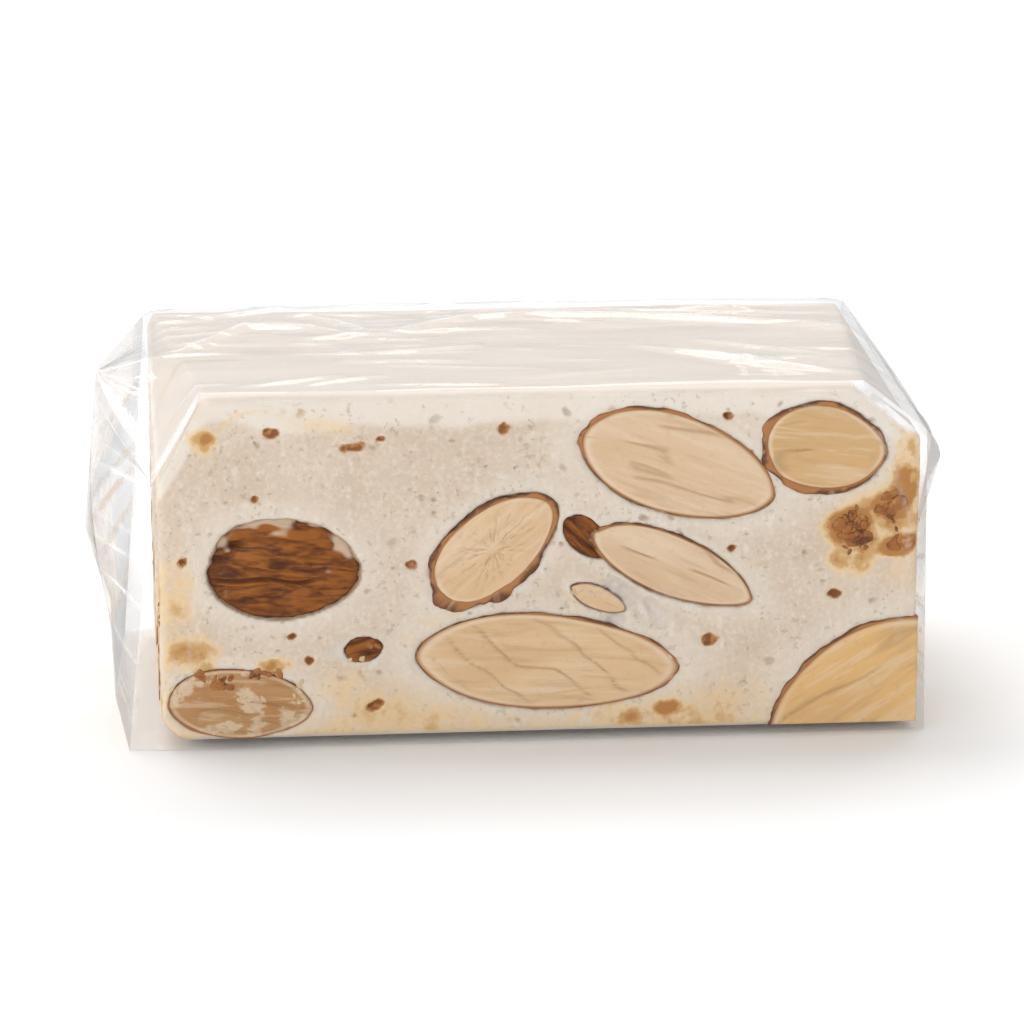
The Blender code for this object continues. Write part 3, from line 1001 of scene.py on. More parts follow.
# %% Geometry Nodes: an almond with its skin on
def whole_recipe():
    sizes = OVAL_SIZES | {"Dome": 1.5 * MM, "Proud": 0.1 * MM, "Wrinkle": 0.34 * MM, "Depth": 1.6 * MM}
    wire, given = new_recipe("almond with its skin on", sizes | {"Columns": 160, "Rows": 64})
    mesh, turn, row = polar_grid(wire, given)
    along, across = oval(wire, given, turn)
    out, side = shell_rows(wire, row)
    u, v = wire.product(along, out), wire.product(across, out)
    own = wire.combine(u, v, wire.product(given["Seed"], 0.05))
    fold = wire.noise(own, stretch=(100, 470, 100), detail=3, distortion=0.7)
    ridge = wire.math("ABSOLUTE", wire.math("SUBTRACT", fold, 0.5))
    groove = wire.product(wire.step(ridge, 0.05, 0.0), 0.5)
    bend = wire.noise(own, stretch=(90, 90, 100), detail=1)
    valley = wire.total(wire.product(v, 330.0), wire.product(bend, 1.6), given["Seed"])
    valley = wire.math("ABSOLUTE", wire.math("SUBTRACT", wire.math("FRACT", valley), 0.5))
    deep = wire.product(wire.step(valley, 0.10, 0.0), wire.step(bend, 0.42, 0.52))
    swell = wire.noise(own, stretch=(120, 300, 100), detail=1)
    pucker = wire.noise(own, stretch=(500, 1300, 100), detail=2)
    low = wire.total(
        wire.product(wire.math("POWER", out, 2.6), given["Dome"]),
        wire.product(wire.total(deep, groove, swell), given["Wrinkle"], wire.step(out, 1.0, 0.8)),
        wire.product(pucker, given["Wrinkle"], wire.step(out, 1.0, 0.85, 0.0, 0.25)),
        wire.product(side, given["Depth"]),
        wire.product(given["Proud"], -1.0),
    )
    numbers = {"own": own, "rim": out, "crack": wire.math("MAXIMUM", deep, groove)}
    return shaped(wire, given, mesh, numbers, wire.combine(u, v, wire.product(low, -1.0)))


whole_tree = whole_recipe()
print("whole almond recipe:", len(whole_tree.nodes), "nodes")

# %% [markdown]
# ## The almonds' finishes
#
# Cut flesh is beige, with fine lines along the almond, browner cracks and a painted highlight: a cream
# line just inside its rim. Each almond was roasted a little differently, so a stored number says how
# warm its beige is. The skin is red-brown in long dark wrinkles. Where it shows only as a rim, it is so
# thin that light passes through, and it looks orange inside. Paste still clings to the upper side of a
# whole almond and to a broken one, and on a whole almond's upper side its colour is also a painted sheen.


# %% Materials: almond flesh and almond skin
FLESH_PALE = (0.785, 0.580, 0.395, 1)
FLESH_WARM = (0.83, 0.510, 0.205, 1)
FLESH_CREAM = (0.88, 0.72, 0.53, 1)
FLESH_EDGE = (0.66, 0.42, 0.20, 1)
FLESH_TOASTED = (0.48, 0.225, 0.070, 1)
FLESH_LINE = (0.50, 0.32, 0.16, 1)
SKIN_DARK = (0.085, 0.020, 0.004, 1)
SKIN_LIGHT = (0.38, 0.118, 0.013, 1)
RIM_OUTSIDE = (0.15, 0.052, 0.018, 1)
RIM_INSIDE = (0.46, 0.195, 0.062, 1)
# Clinging paste, and on a whole almond's upper side also a painted sheen.
PASTE_SMEAR_AND_SHEEN = (0.80, 0.645, 0.46, 1)


def own_frame(wire):
    """The almond's own coordinates, which its points carry."""
    return wire.add("ShaderNodeAttribute", output=1, attribute_name="own")


def flesh_finish():
    material, wire, shader = new_finish("almond_flesh")
    own, rim = own_frame(wire), stored(wire, "rim")
    fine = wire.noise(own, stretch=(150, 1300, 100), detail=4, roughness=0.6)
    broad = wire.noise(own, stretch=(70, 260, 100), detail=3, distortion=0.8)
    speckle = wire.noise(own, scale=1000, detail=4, roughness=0.7)
    base = blend(wire, stored(wire, "warmth"), FLESH_PALE, FLESH_WARM)
    base = blend(wire, wire.step(stored(wire, "warmth"), 1.1, 2.0), base, FLESH_EDGE)
    base = blend(wire, wire.step(stored(wire, "warmth"), 2.0, 3.0), base, FLESH_TOASTED)
    base = blend(wire, wire.step(broad, 0.42, 0.66, 0.0, 0.34), base, FLESH_EDGE)
    base = blend(wire, wire.step(broad, 0.44, 0.30, 0.0, 0.30), base, FLESH_CREAM)
    base = blend(wire, wire.step(fine, 0.52, 0.66, 0.0, 0.30), base, FLESH_LINE)
    base = blend(wire, wire.step(fine, 0.47, 0.35, 0.0, 0.32), base, FLESH_CREAM)
    base = blend(wire, wire.step(speckle, 0.54, 0.75, 0.0, 0.30), base, FLESH_LINE)
    # Painted highlight: a cream line just inside the rim.
    rim_highlight = wire.product(wire.step(rim, 0.88, 0.95), wire.step(broad, 0.34, 0.54), 0.55)
    base = blend(wire, rim_highlight, base, FLESH_CREAM)
    base = blend(wire, wire.step(rim, 0.95, 1.0, 0.0, 0.75), base, RIM_INSIDE)
    base = blend(wire, wire.product(stored(wire, "crack"), 0.55), base, FLESH_LINE)
    smear = wire.step(wire.noise(own, stretch=(210, 330, 100), detail=5, roughness=0.6), 0.49, 0.55)
    base = blend(wire, wire.product(smear, stored(wire, "smear"), 0.70), base, PASTE_SMEAR_AND_SHEEN)
    height = wire.total(fine, wire.product(speckle, 0.6))
    feed(
        wire,
        shader,
        Base_Color=base,
        Roughness=wire.step(fine, 0.3, 0.7, 0.42, 0.58),
        Normal=wire.bump(height, 0.5, 0.08 * MM),
        IOR=1.46,
    )
    return material


def skin_finish():
    material, wire, shader = new_finish("almond_skin")
    own = own_frame(wire)
    lines = wire.noise(own, stretch=(300, 1500, 100), detail=5, roughness=0.65, distortion=0.6)
    patch = wire.noise(own, stretch=(260, 520, 100), detail=4, roughness=0.6)
    tone = wire.total(wire.product(lines, 0.55), wire.product(patch, 0.45))
    base = blend(wire, wire.step(tone, 0.38, 0.58), SKIN_DARK, SKIN_LIGHT)
    base = blend(wire, wire.product(stored(wire, "crack"), 0.90), base, SKIN_DARK)
    base = blend(wire, wire.step(stored(wire, "rim"), 0.93, 1.0, 0.0, 0.8), base, SKIN_DARK)
    # Paste on the upper side, which also stands in for a painted sheen.
    base = blend(wire, stored(wire, "dust_and_sheen"), base, PASTE_SMEAR_AND_SHEEN)
    feed(
        wire,
        shader,
        Base_Color=base,
        Roughness=wire.step(patch, 0.3, 0.7, 0.24, 0.50),
        Normal=wire.bump(lines, 0.7, 0.10 * MM),
        Specular_IOR_Level=0.25,
    )
    return material


def rim_finish():
    """The edge of the skin: dark outside, orange towards the flesh, with a few worn places."""
    material, wire, shader = new_finish("almond_skin_edge")
    own = own_frame(wire)
    worn = wire.noise(own, stretch=(700, 300, 1), detail=3)
    side = wire.total(stored(wire, "outer"), wire.step(worn, 0.3, 0.7, -0.9, 0.9))
    base = blend(wire, wire.step(side, -0.5, 0.9), RIM_INSIDE, RIM_OUTSIDE)
    base = blend(wire, wire.step(worn, 0.60, 0.72, 0.0, 0.6), base, FLESH_EDGE)
    feed(
        wire,
        shader,
        Base_Color=base,
        Roughness=wire.step(worn, 0.3, 0.7, 0.40, 0.55),
        Normal=wire.bump(worn, 0.5, 0.06 * MM),
        IOR=1.46,
    )
    return material


flesh_material = flesh_finish()
skin_material = skin_finish()
rim_material = rim_finish()
for material in (flesh_material, skin_material, rim_material):
    print(material.name + ":", len(material.node_tree.nodes), "nodes")

# %% [markdown]
# Now each almond is cooked from its recipe, turned to its place, and joined with its kind. An almond that
# reaches over the block's edge is trimmed by the same cut as the block.


# %% Trim, place and join
def trimmed(data, face):
    """Cuts off what reaches past the block, and closes the cut."""
    flush = 0.02 if face in ("front", "back") else -0.25
    half_long, half_deep = BAR_LENGTH / 2 + flush * MM, BAR_DEPTH / 2 + flush * MM
    planes = [((0, 0, BASE_LIFT + 0.15 * MM), (0, 0, -1))]
    if face in ("front", "back"):
        planes += [((side * half_long, 0, 0), (side, 0, 0)) for side in (-1, 1)]
    else:
        planes += [((0, side * half_deep, 0), (0, side, 0)) for side in (-1, 1)]
    mesh = bmesh.new()
    mesh.from_mesh(data)
    for point, normal in planes:
        if all((v.co - Vector(point)).dot(Vector(normal)) <= 0 for v in mesh.verts):
            continue
        geometry = mesh.verts[:] + mesh.edges[:] + mesh.faces[:]
        cut = {"geom": geometry, "plane_co": point, "plane_no": normal, "clear_outer": True}
        bmesh.ops.bisect_plane(mesh, dist=1e-7, **cut)
        bmesh.ops.holes_fill(mesh, edges=[e for e in mesh.edges if e.is_boundary], sides=0)
    mesh.to_mesh(data)
    mesh.free()


def joined(name, meshes, material):
    """One object from many meshes, with their stored fields kept."""
    mesh = bmesh.new()
    for data in meshes:
        mesh.from_mesh(data)
        bpy.data.meshes.remove(data)
    bmesh.ops.recalc_face_normals(mesh, faces=mesh.faces)
    data = bpy.data.meshes.new(name)
    mesh.to_mesh(data)
    mesh.free()
    print(name + ":", len(data.polygons), "faces")
    return piece_from(data, material)


def oval_inputs(almond, seed):
    """An almond's row as the inputs that its recipes share."""
    inputs = {"Half_Length": almond["long"] * MM, "Half_Width": almond["wide"] * MM, "Seed": seed}
    return inputs | {"Tip": almond["tip"], "Tail": almond["tail"]}


# %% Cook the cut almonds
CRACKS = {
    "long": {"Long": 1.0, "Slant": 0.0, "Star": 0.0},
    "slant": {"Long": 0.4, "Slant": 1.0, "Star": 0.0},
    "star": {"Long": 0.3, "Slant": 0.0, "Star": 1.0},
    "broken": {"Long": 1.0, "Slant": 0.5, "Star": 0.0},
}
CUT_PROUD = 0.05 * MM
flesh_meshes, rim_meshes, whole_meshes = [], [], []
for number, almond in enumerate(CUT_ALMONDS):
    place = Matrix.Translation(FACES[almond["face"]][2] * CUT_PROUD) @ face_matrix(almond)
    inputs = oval_inputs(almond, seed_of(number))
    fine = 1.0 if almond["face"] == "front" else 0.55
    detail = {"Columns": int(150 * fine), "Rows": int(50 * fine)} | CRACKS[almond["crack"]]
    flesh = cook(flesh_tree, "flesh", Finish=flesh_material, **inputs, **detail)
    detail = {"Columns": int(200 * fine), "Rows": 11, "Lean": math.radians(almond["lean"])}
    rim = cook(skin_tree, "rim", Finish=rim_material, Skin=almond["skin"] * MM, **inputs, **detail)
    for data, pile in ((flesh, flesh_meshes), (rim, rim_meshes)):
        data.transform(place)
        trimmed(data, almond["face"])
        pile.append(data)
    paint(flesh, "warmth", [almond["warmth"]] * len(flesh.vertices))
    paint(flesh, "smear", [float(almond["crack"] == "broken")] * len(flesh.vertices))

# %% Cook the almonds with their skin on
# Paste on the upper side of a whole almond, whose colour there is also a painted sheen.
SMEAR_AND_SHEEN_FROM, SMEAR_AND_SHEEN_FULL = 0.42, 0.90  # paste clings to the upper side, from here up its half width
for number, almond in enumerate(WHOLE_ALMONDS):
    size = min(1.0, almond["long"] / 6.4)
    inputs = oval_inputs(almond, seed_of(number))
    inputs |= {"Dome": 0.8 * MM * size, "Proud": 0.25 * MM * size, "Wrinkle": 0.40 * MM * size}
    whole = cook(whole_tree, "whole", Finish=skin_material, **inputs)
    points = np.array([v.co for v in whole.vertices])
    smear = soft_noise(points, (1.5 * MM, 0.7 * MM, 1.0), 31 + number)
    smear += 0.9 * soft_noise(points, (0.8 * MM, 0.45 * MM, 1.0), 61 + number)
    right, up = points[:, 0] / (almond["long"] * MM), points[:, 1] / (almond["wide"] * MM)
    rim_side = ease(0.70, 0.95, np.hypot(right, up)) * ease(0.0, 0.4, up)
    upper = np.maximum(ease(SMEAR_AND_SHEEN_FROM, SMEAR_AND_SHEEN_FULL, up), rim_side)
    clinging_and_sheen = ease(0.50, 0.80, upper * 0.62 + 0.38 * smear) if size == 1.0 else 0.0 * upper
    # Paste and a painted sheen on the upper side.
    paint(whole, "dust_and_sheen", 0.72 * clinging_and_sheen)
    whole.transform(face_matrix(almond))
    trimmed(whole, almond["face"])
    whole_meshes.append(whole)

almond_flesh = joined("almond_sections", flesh_meshes, flesh_material)
almond_rims = joined("almond_skin_rims", rim_meshes, rim_material)
whole_almonds = joined("whole_almonds", whole_meshes, skin_material)

# %% [markdown]
# ## Broken almond
#
# Where the blade catches an almond badly, it crumbles: a cluster of sticky orange-brown bits lies in the
# torn paste. Geometry Nodes scatter a few rounded chips in an oval patch, each at its own size and turn,
# and noise then breaks their smooth shape. The same recipe, with smaller bits, gives the crumbs of paste
# further down.


# %% Geometry Nodes: a patch of broken bits
def bits_recipe():
    sizes = {"Reach Along": 4.0 * MM, "Reach Up": 3.0 * MM, "Sink": 0.3 * MM, "Size": 0.8 * MM}
    sizes |= {"Count": 30, "Seed": 1, "Fineness": 2, "Roughness": 0.22}
    wire, given = new_recipe("patch of broken bits", sizes)
    unit = {"Min": (0.0, 0.0, 0.0), "Max": (1.0, 1.0, 1.0), "Seed": given["Seed"]}
    chance = wire.add("FunctionNodeRandomValue", unit, data_type="FLOAT_VECTOR")
    parts = wire.parts(chance)
    turn, out = wire.product(parts[0], math.tau), wire.math("SQRT", parts[1])
    place = wire.combine(
        wire.product(wire.math("COSINE", turn), out, given["Reach Along"]),
        wire.product(wire.math("SINE", turn), out, given["Reach Up"]),
        wire.product(parts[2], given["Sink"], -1.0),
    )
    points = wire.add("GeometryNodePoints", {"Count": given["Count"], "Position": place})
    ball = {"Radius": given["Size"], "Subdivisions": given["Fineness"]}
    ball = wire.add("GeometryNodeMeshIcoSphere", ball)
    other = wire.math("ADD", given["Seed"], 17.0)
    spin = {"Min": (0.0, 0.0, 0.0), "Max": (math.tau, math.tau, math.tau), "Seed": other}
    spin = wire.add("FunctionNodeRandomValue", spin, data_type="FLOAT_VECTOR")
    grow = {"Min": (0.35, 0.3, 0.25), "Max": (1.2, 0.9, 0.6), "Seed": given["Seed"]}
    grow = wire.add("FunctionNodeRandomValue", grow, data_type="FLOAT_VECTOR")
    inputs = {"Points": points, "Instance": ball, "Rotation": spin, "Scale": grow}
    bits = wire.add("GeometryNodeInstanceOnPoints", inputs)
    bits = wire.add("GeometryNodeRealizeInstances", {0: bits})
    lumps = {"Vector": wire.add("GeometryNodeInputPosition"), "Scale": 900.0, "Detail": 3.0}
    lumps = wire.add("ShaderNodeTexNoise", lumps, output=1)
    centred = wire.add("ShaderNodeVectorMath", {0: lumps, 1: (0.5, 0.5, 0.5)}, operation="SUBTRACT")
    amount = wire.product(given["Size"], given["Roughness"], 4.0)
    push = wire.add("ShaderNodeVectorMath", {0: centred, "Scale": amount}, operation="SCALE")
    bits = wire.add("GeometryNodeSetPosition", {"Geometry": bits, "Offset": push})
    return finish_recipe(wire, bits, given["Finish"])


bits_tree = bits_recipe()
print("broken bits recipe:", len(bits_tree.nodes), "nodes")

# %% Material: candied almond bits
CARAMEL_DARK = (0.15, 0.048, 0.012, 1)
CARAMEL = (0.40, 0.145, 0.032, 1)
CARAMEL_LIGHT = (0.58, 0.29, 0.10, 1)


def candied_finish():
    material, wire, shader = new_finish("candied_almond")
    position = on_object(wire)
    tone = wire.noise(position, scale=650, detail=4, roughness=0.65)
    base = blend(wire, wire.step(tone, 0.36, 0.54), CARAMEL_DARK, CARAMEL)
    base = blend(wire, wire.step(tone, 0.56, 0.70), base, CARAMEL_LIGHT)
    feed(
        wire,
        shader,
        Base_Color=base,
        Roughness=wire.step(tone, 0.3, 0.7, 0.22, 0.42),
        Normal=wire.bump(wire.noise(position, scale=1800), 0.5, 0.1 * MM),
        IOR=1.47,
    )
    return material


# %% Place the broken bits
PATCHES = (
    ("front", 27.5, 17.9, 1.4, 1.2, 16, 0.85),
    ("front", 30.4, 20.0, 1.2, 1.0, 7, 1.10),
    ("front", 31.6, 16.3, 0.9, 0.4, 6, 0.80),
    ("front", 28.8, 17.4, 2.6, 2.6, 20, 0.34),
    ("front", -28.0, 5.3, 1.1, 0.4, 14, 0.70),
    ("front", -29.6, 6.0, 0.6, 0.4, 8, 0.50),
    ("front", -23.8, 6.0, 1.9, 0.22, 14, 0.60),
    ("front", -14.7, 8.4, 0.5, 0.4, 4, 0.34),
    ("back", -27.6, 6.4, 2.4, 1.8, 22, 0.55),
    ("left", 18.6, 9.8, 1.4, 2.2, 16, 0.50),
    ("right", -18.2, 18.2, 1.8, 2.6, 24, 0.55),
)
FLATTENED = Matrix.Diagonal((1.0, 1.0, 0.34, 1.0))


def bits_patch(row, seed, sink, finish):
    """One patch of bits from its row, pressed flat on its face and sunk by a share of their size."""
    face, along, up, reach_along, reach_up, count, size = row
    inputs = {"Reach_Along": reach_along * MM, "Reach_Up": reach_up * MM, "Size": size * MM}
    inputs |= {"Count": count, "Seed": seed, "Sink": sink * size * MM}
    patch = cook(bits_tree, "patch", Finish=finish, **inputs)
    patch.transform(face_matrix({"face": face, "along": along, "up": up}) @ FLATTENED)
    return patch


candied_material = candied_finish()
patches = [bits_patch(row, 5 + number, 0.40, candied_material) for number, row in enumerate(PATCHES)]
broken_bits = joined("broken_almond_bits", patches, candied_material)

# %% [markdown]
# The blade also drags crumbs of paste over the almonds' rims, so that not every rim shows all the way
# round. They are the same bits in the nougat's own finish.

# %% Crumbs of paste
CRUMBS = (
    ("front", -21.2, 3.9, 0.4, 1.2, 10, 0.50),
    ("front", -25.6, 3.8, 1.4, 0.20, 14, 0.45),
    ("front", -31.9, 4.6, 0.5, 0.5, 9, 0.45),
    ("front", 3.8, 12.7, 1.2, 0.35, 9, 0.40),
    ("front", -16.4, 7.0, 0.8, 0.25, 6, 0.35),
    ("back", -14.0, 12.2, 1.2, 0.6, 6, 0.60),
    ("left", -6.4, 6.2, 0.8, 1.0, 5, 0.60),
    ("right", 8.8, 13.0, 1.2, 0.6, 6, 0.60),
)
crumbs = [bits_patch(row, 25 + number, 0.5, nougat_material) for number, row in enumerate(CRUMBS)]
for patch in crumbs:
    paint(patch, "cut", [1.0] * len(patch.vertices))
    paint(patch, "stain", [0.5] * len(patch.vertices))
paste_crumbs = joined("paste_crumbs", crumbs, nougat_material)

# %% [markdown]
# ## The film
#
# The film is one skin all the way round, close to the bar along its length. Rings of points run across
# the bar, one after another along it. Over the top, where the film is loose, the rings are finely
# divided so that folds can run in any direction. At the ends the rows of points become the pleats that
# run out to the fin.

# %% Sizes of the film
FOOT_SPREAD = 0.9 * MM
FOOT_HEIGHT = 2.6 * MM
TOP_RADIUS = 1.3 * MM
FOOT_RADIUS = 0.6 * MM
FIN_PLACE = -4.0 * MM
FIN_THICKNESS = 0.16 * MM
FILM_TOP = BASE_LIFT + BAR_HEIGHT + TOP_GAP
FILM_HALF = BAR_DEPTH / 2 + SIDE_GAP
FRONT_STEPS, TOP_STEPS, BACK_STEPS, BASE_STEPS = 68, 160, 40, 24
BODY_STEPS, BEVEL_STEPS, FIN_STEPS = 180, 8, 24
film_rng = np.random.default_rng(7)


def quarter(centre, radius, start, steps=5):
    """Points on a quarter circle, clockwise from the angle start."""
    angles = np.radians(start - 90.0 * np.arange(steps + 1) / steps)
    return np.stack([centre[0] + radius * np.cos(angles), centre[1] + radius * np.sin(angles)], 1)


def between(start, end, steps):
    """The points strictly between start and end."""
    share = np.arange(1, steps)[:, None] / steps
    return np.asarray(start) * (1 - share) + np.asarray(end) * share


def film_section():
    """The film's outline across the bar as (y, z), clockwise from the middle of the base."""
    front_foot = quarter((-FILM_HALF + FOOT_RADIUS, FOOT_RADIUS), FOOT_RADIUS, 270)
    front_top = quarter((-FILM_HALF + TOP_RADIUS, FILM_TOP - TOP_RADIUS), TOP_RADIUS, 180)
    back_top = quarter((FILM_HALF - TOP_RADIUS, FILM_TOP - TOP_RADIUS), TOP_RADIUS, 90)
    back_foot = quarter((FILM_HALF - FOOT_RADIUS, FOOT_RADIUS), FOOT_RADIUS, 0)
    corners = (front_foot, front_top, back_top, back_foot)
    steps = (FRONT_STEPS, TOP_STEPS, BACK_STEPS, BASE_STEPS)
    points = []
    for corner, following, count in zip(corners, corners[1:] + corners[:1], steps):
        points += [corner, between(corner[-1], following[0], count)]
    points = np.concatenate(points)
    return np.roll(points, BASE_STEPS // 2, axis=0)


section = film_section()
ON_TOP = section[:, 1] > FILM_TOP - 0.02 * MM
print(len(section), "points round the film")

# %% [markdown]
# Folds: each one is a path over the film with a height and a width. It stands up steeply on one side
# and runs out gently on the other, like a real fold that leans over. Paths are given as shares of the
# bar's length and of its depth or height. Many finer folds are added by chance.

# %% Folds of the film
# Over the top: width in mm, slope in degrees, then the path as (share along, share back from the front)
TOP_FOLDS = [
    (1.4, 18, ((0.0, 0.36), (0.06, 0.52), (0.13, 0.72), (0.22, 0.70), (0.30, 0.52))),
    (1.4, 19, ((0.30, 0.52), (0.36, 0.68), (0.45, 0.79), (0.63, 0.81), (0.80, 0.71), (1.0, 0.58))),
    (0.9, 17, ((0.19, 0.92), (0.26, 0.78), (0.32, 0.58))),
    (1.0, 16, ((0.15, 0.94), (0.45, 0.93), (0.75, 0.95), (1.0, 0.92))),
    (0.8, 18, ((0.38, 0.86), (0.60, 0.89), (0.85, 0.84), (1.0, 0.78))),
    (1.0, 19, ((0.65, 0.44), (0.76, 0.27), (0.88, 0.11))),
    (0.9, 20, ((0.70, 0.36), (0.80, 0.19), (0.94, 0.08))),
    (0.8, 18, ((0.74, 0.49), (0.91, 0.27))),
    (0.7, 19, ((0.85, 0.36), (0.97, 0.34))),
    (0.6, 18, ((0.19, 0.07), (0.31, 0.15))),
    (0.8, 20, ((0.0, 0.80), (0.10, 0.88), (0.20, 0.97))),
    (0.6, 24, ((-0.06, 0.405), (0.05, 0.41), (0.12, 0.40))),
]
# Over the front: the same, with the share up the height
FRONT_FOLDS = [
    (0.7, 9, ((0.52, 0.50), (0.60, 0.40), (0.68, 0.31))),
    (0.6, 9, ((0.56, 0.46), (0.66, 0.41), (0.72, 0.36))),
    (0.7, 8, ((0.02, 0.86), (0.05, 0.50), (0.03, 0.10))),
    (0.6, 9, ((0.93, 0.94), (0.985, 0.62), (0.97, 0.20))),
    (0.6, 8, ((0.80, 0.97), (0.90, 0.90), (0.99, 0.80))),
    (0.6, 6, ((0.10, 0.97), (0.30, 0.985), (0.52, 0.96))),
]


def chance_folds(count, low, high):
    """Short folds at random: mostly along the bar, and mostly near the back."""
    folds = []
    for _ in range(count):
        middle = np.array([film_rng.uniform(0.03, 0.97), low + (high - low) * film_rng.random() ** 0.7])
        half = film_rng.uniform(0.02, 0.11)
        slope = film_rng.normal(0.0, 0.28)
        ends = (middle - [half, half * slope], middle + [half, half * slope])
        folds.append((film_rng.uniform(0.35, 0.8), film_rng.uniform(6, 22), ends))
    return folds


TOP_FOLDS += chance_folds(44, 0.03, 0.99)


def fold_lift(along, across, length, width, folds):
    """How far folds lift the film, and how sharply it is creased, at points given in metres."""
    lift, crease_and_highlight = np.zeros_like(along), np.zeros_like(along)
    here = np.stack([along, across], axis=-1)
    for width_mm, slope, path in folds:
        height = width_mm * math.tan(math.radians(slope))
        path = np.array(path) * [length, width] - [length / 2, width / 2]
        steps = np.diff(path, axis=0)
        sizes = np.linalg.norm(steps, axis=1)
        starts = np.concatenate([[0], np.cumsum(sizes)])
        nearest = np.full(along.shape, np.inf)
        signed, place = np.zeros_like(along), np.zeros_like(along)
        for start, step, size, done in zip(path, steps, sizes, starts):
            share = np.clip(((here - start) @ step) / size**2, 0, 1)
            off = here - (start + share[..., None] * step)
            far = np.linalg.norm(off, axis=-1)
            closer = far < nearest
            nearest = np.where(closer, far, nearest)
            side = np.sign(step[0] * off[..., 1] - step[1] * off[..., 0])
            signed = np.where(closer, side * far, signed)
            place = np.where(closer, (done + share * size) / starts[-1], place)
        fade = np.clip(np.sin(math.pi * place), 0, 1) ** 0.5
        reach = np.where(signed < 0, 1.0, 2.4) * width_mm * MM
        lift += height * MM * fade * np.clip(1.0 - np.abs(signed) / reach, 0, 1)
        crease_and_highlight = np.maximum(crease_and_highlight, fade * ease(0.32, 0.05, nearest / MM) * min(0.8, 2.0 * height))
    return lift, crease_and_highlight


# %% [markdown]
# Over the bar the rings follow the block. Past its ends they are drawn in step by step to the fin.


# %% Rings of the film
def bevel_inset(end, y, z):
    """How far the bar's end is cut back at (y, z) by its bevel."""
    drop = end["bevel_drop"] * bevel_share(y)
    share = np.clip((z - (BASE_LIFT + BAR_HEIGHT - drop)) / drop, 0.0, 1.0)
    return end["bevel_run"] * bevel_share(y) * share


def body_ring(x, y, z):
    """Film points over the bar, and their creases, with painted glare over the back of the top."""
    across = np.minimum(1.0, np.abs(y) / (BAR_DEPTH / 2))
    along = np.minimum(1.0, np.abs(x) / (BAR_LENGTH / 2))
    fade = ease(0.0, 0.10, 1.0 - along)
    lift, top_crease_and_glare = fold_lift(x, y, BAR_LENGTH, BAR_DEPTH, TOP_FOLDS)
    middle = FILM_TOP / 2
    bulge, front_crease = fold_lift(x, z - middle, BAR_LENGTH, FILM_TOP, FRONT_FOLDS)
    crown = 0.2 * MM * (1 - across**2) * (1 - along**2)
    billow = 0.16 * MM * soft_noise(np.stack([x, y, z * 0], -1), (9 * MM, 5 * MM, 1.0), 54)
    back_edge = 0.35 * MM * ease(0.75, 1.0, y / FILM_HALF) * fade
    bow = 0.12 * MM * np.sin(math.pi * np.clip(z / FILM_TOP, 0, 1)) * fade
    foot = FOOT_SPREAD * (1 - ease(0, FOOT_HEIGHT, z)) * ease(0, 0.5 * FOOT_RADIUS, z)
    slack = 0.10 * MM * soft_noise(np.stack([x, y, z], -1), (9 * MM, 9 * MM, 4 * MM), 51)
    bulge = np.where(y < 0, bulge, 0.0) + slack * fade
    new_y = np.where(ON_TOP, y, y + np.sign(y) * (bow + foot + bulge * (z > FOOT_RADIUS)))
    new_z = np.where(ON_TOP, z + crown + back_edge + billow * fade + lift * (0.4 + 0.6 * fade), z)
    # Painted glare: white streaks over the back of the top, added to the creases.
    streaks = soft_noise(np.stack([x, y, z * 0], -1), (13 * MM, 1.3 * MM, 1.0), 52)
    streaks += 0.6 * soft_noise(np.stack([x, y, z * 0], -1), (5 * MM, 0.6 * MM, 1.0), 53)
    painted_glare = 0.25 * ease(-0.1, 0.9, streaks) * ease(-0.10, 0.25, y / BAR_DEPTH)
    top_crease_and_glare = np.maximum(top_crease_and_glare, painted_glare)
    crease_and_highlight = np.where(ON_TOP, top_crease_and_glare, np.where(y < 0, front_crease, 0.0))
    return np.stack([x, new_y, new_z], axis=1), crease_and_highlight


def share_from_fin(y):
    """0 on the fin's plane, 1 at the front and the back wall."""
    wall = np.where(y > FIN_PLACE, BAR_DEPTH / 2, -BAR_DEPTH / 2)
    return np.minimum(1.0, (y - FIN_PLACE) / (wall - FIN_PLACE))


def end_plane_ring(end, y, z):
    """Where the film passes the bar's end: down the bevel, or tented over it towards the fin."""
    drop = end["bevel_drop"] * bevel_share(y)
    corner = BASE_LIFT + BAR_HEIGHT - drop + TOP_GAP
    tent = end["tent"] * drop * (1.0 - share_from_fin(y) ** 1.3)
    flare = end["flare"] * np.maximum(0.0, 1.0 - z / corner)
    x = end["side"] * (BAR_LENGTH / 2 + SIDE_GAP + flare)
    return np.stack([x, y, np.minimum(z, corner + tent)], axis=1)


def fin_ring(end, y, z):
    """The gathered end, where the whole depth narrows to the fin's thickness."""
    corners = np.array(end["fin"]) * MM
    low, high = corners[0, 1], corners[-1, 1]
    height = low + (high - low) * np.minimum(1.0, z / FILM_TOP)
    reach = np.interp(height, corners[:, 1], corners[:, 0])
    x = end["side"] * (BAR_LENGTH / 2 + SIDE_GAP + reach)
    return np.stack([x, FIN_PLACE + FIN_THICKNESS * y / BAR_DEPTH, height], axis=1)


PLEAT_DEPTH = 0.55 * MM
# On the bevel's fold the white is a painted highlight.
RIDGE_WHITE, BEVEL_HIGHLIGHT_WHITE = 1.4, 1.3  # how white the film turns on its ridge and on the bevel's fold


def pleats(z):
    """How far each row of an end moves in or out, in runs between random lines, and its creases."""
    lines = np.cumsum(film_rng.integers(3, 12, 90))
    lines = lines[lines < len(section)]
    depth = film_rng.uniform(-1.0, 1.0, len(lines)) * PLEAT_DEPTH
    crease_and_highlight = np.zeros(len(section))
    crease_and_highlight[lines] = film_rng.uniform(0.2, 1.0, len(lines))
    grounded = ease(0.0, 0.2 * BAR_HEIGHT, z)
    return np.interp(np.arange(len(section)), lines, depth) * grounded, crease_and_highlight * grounded


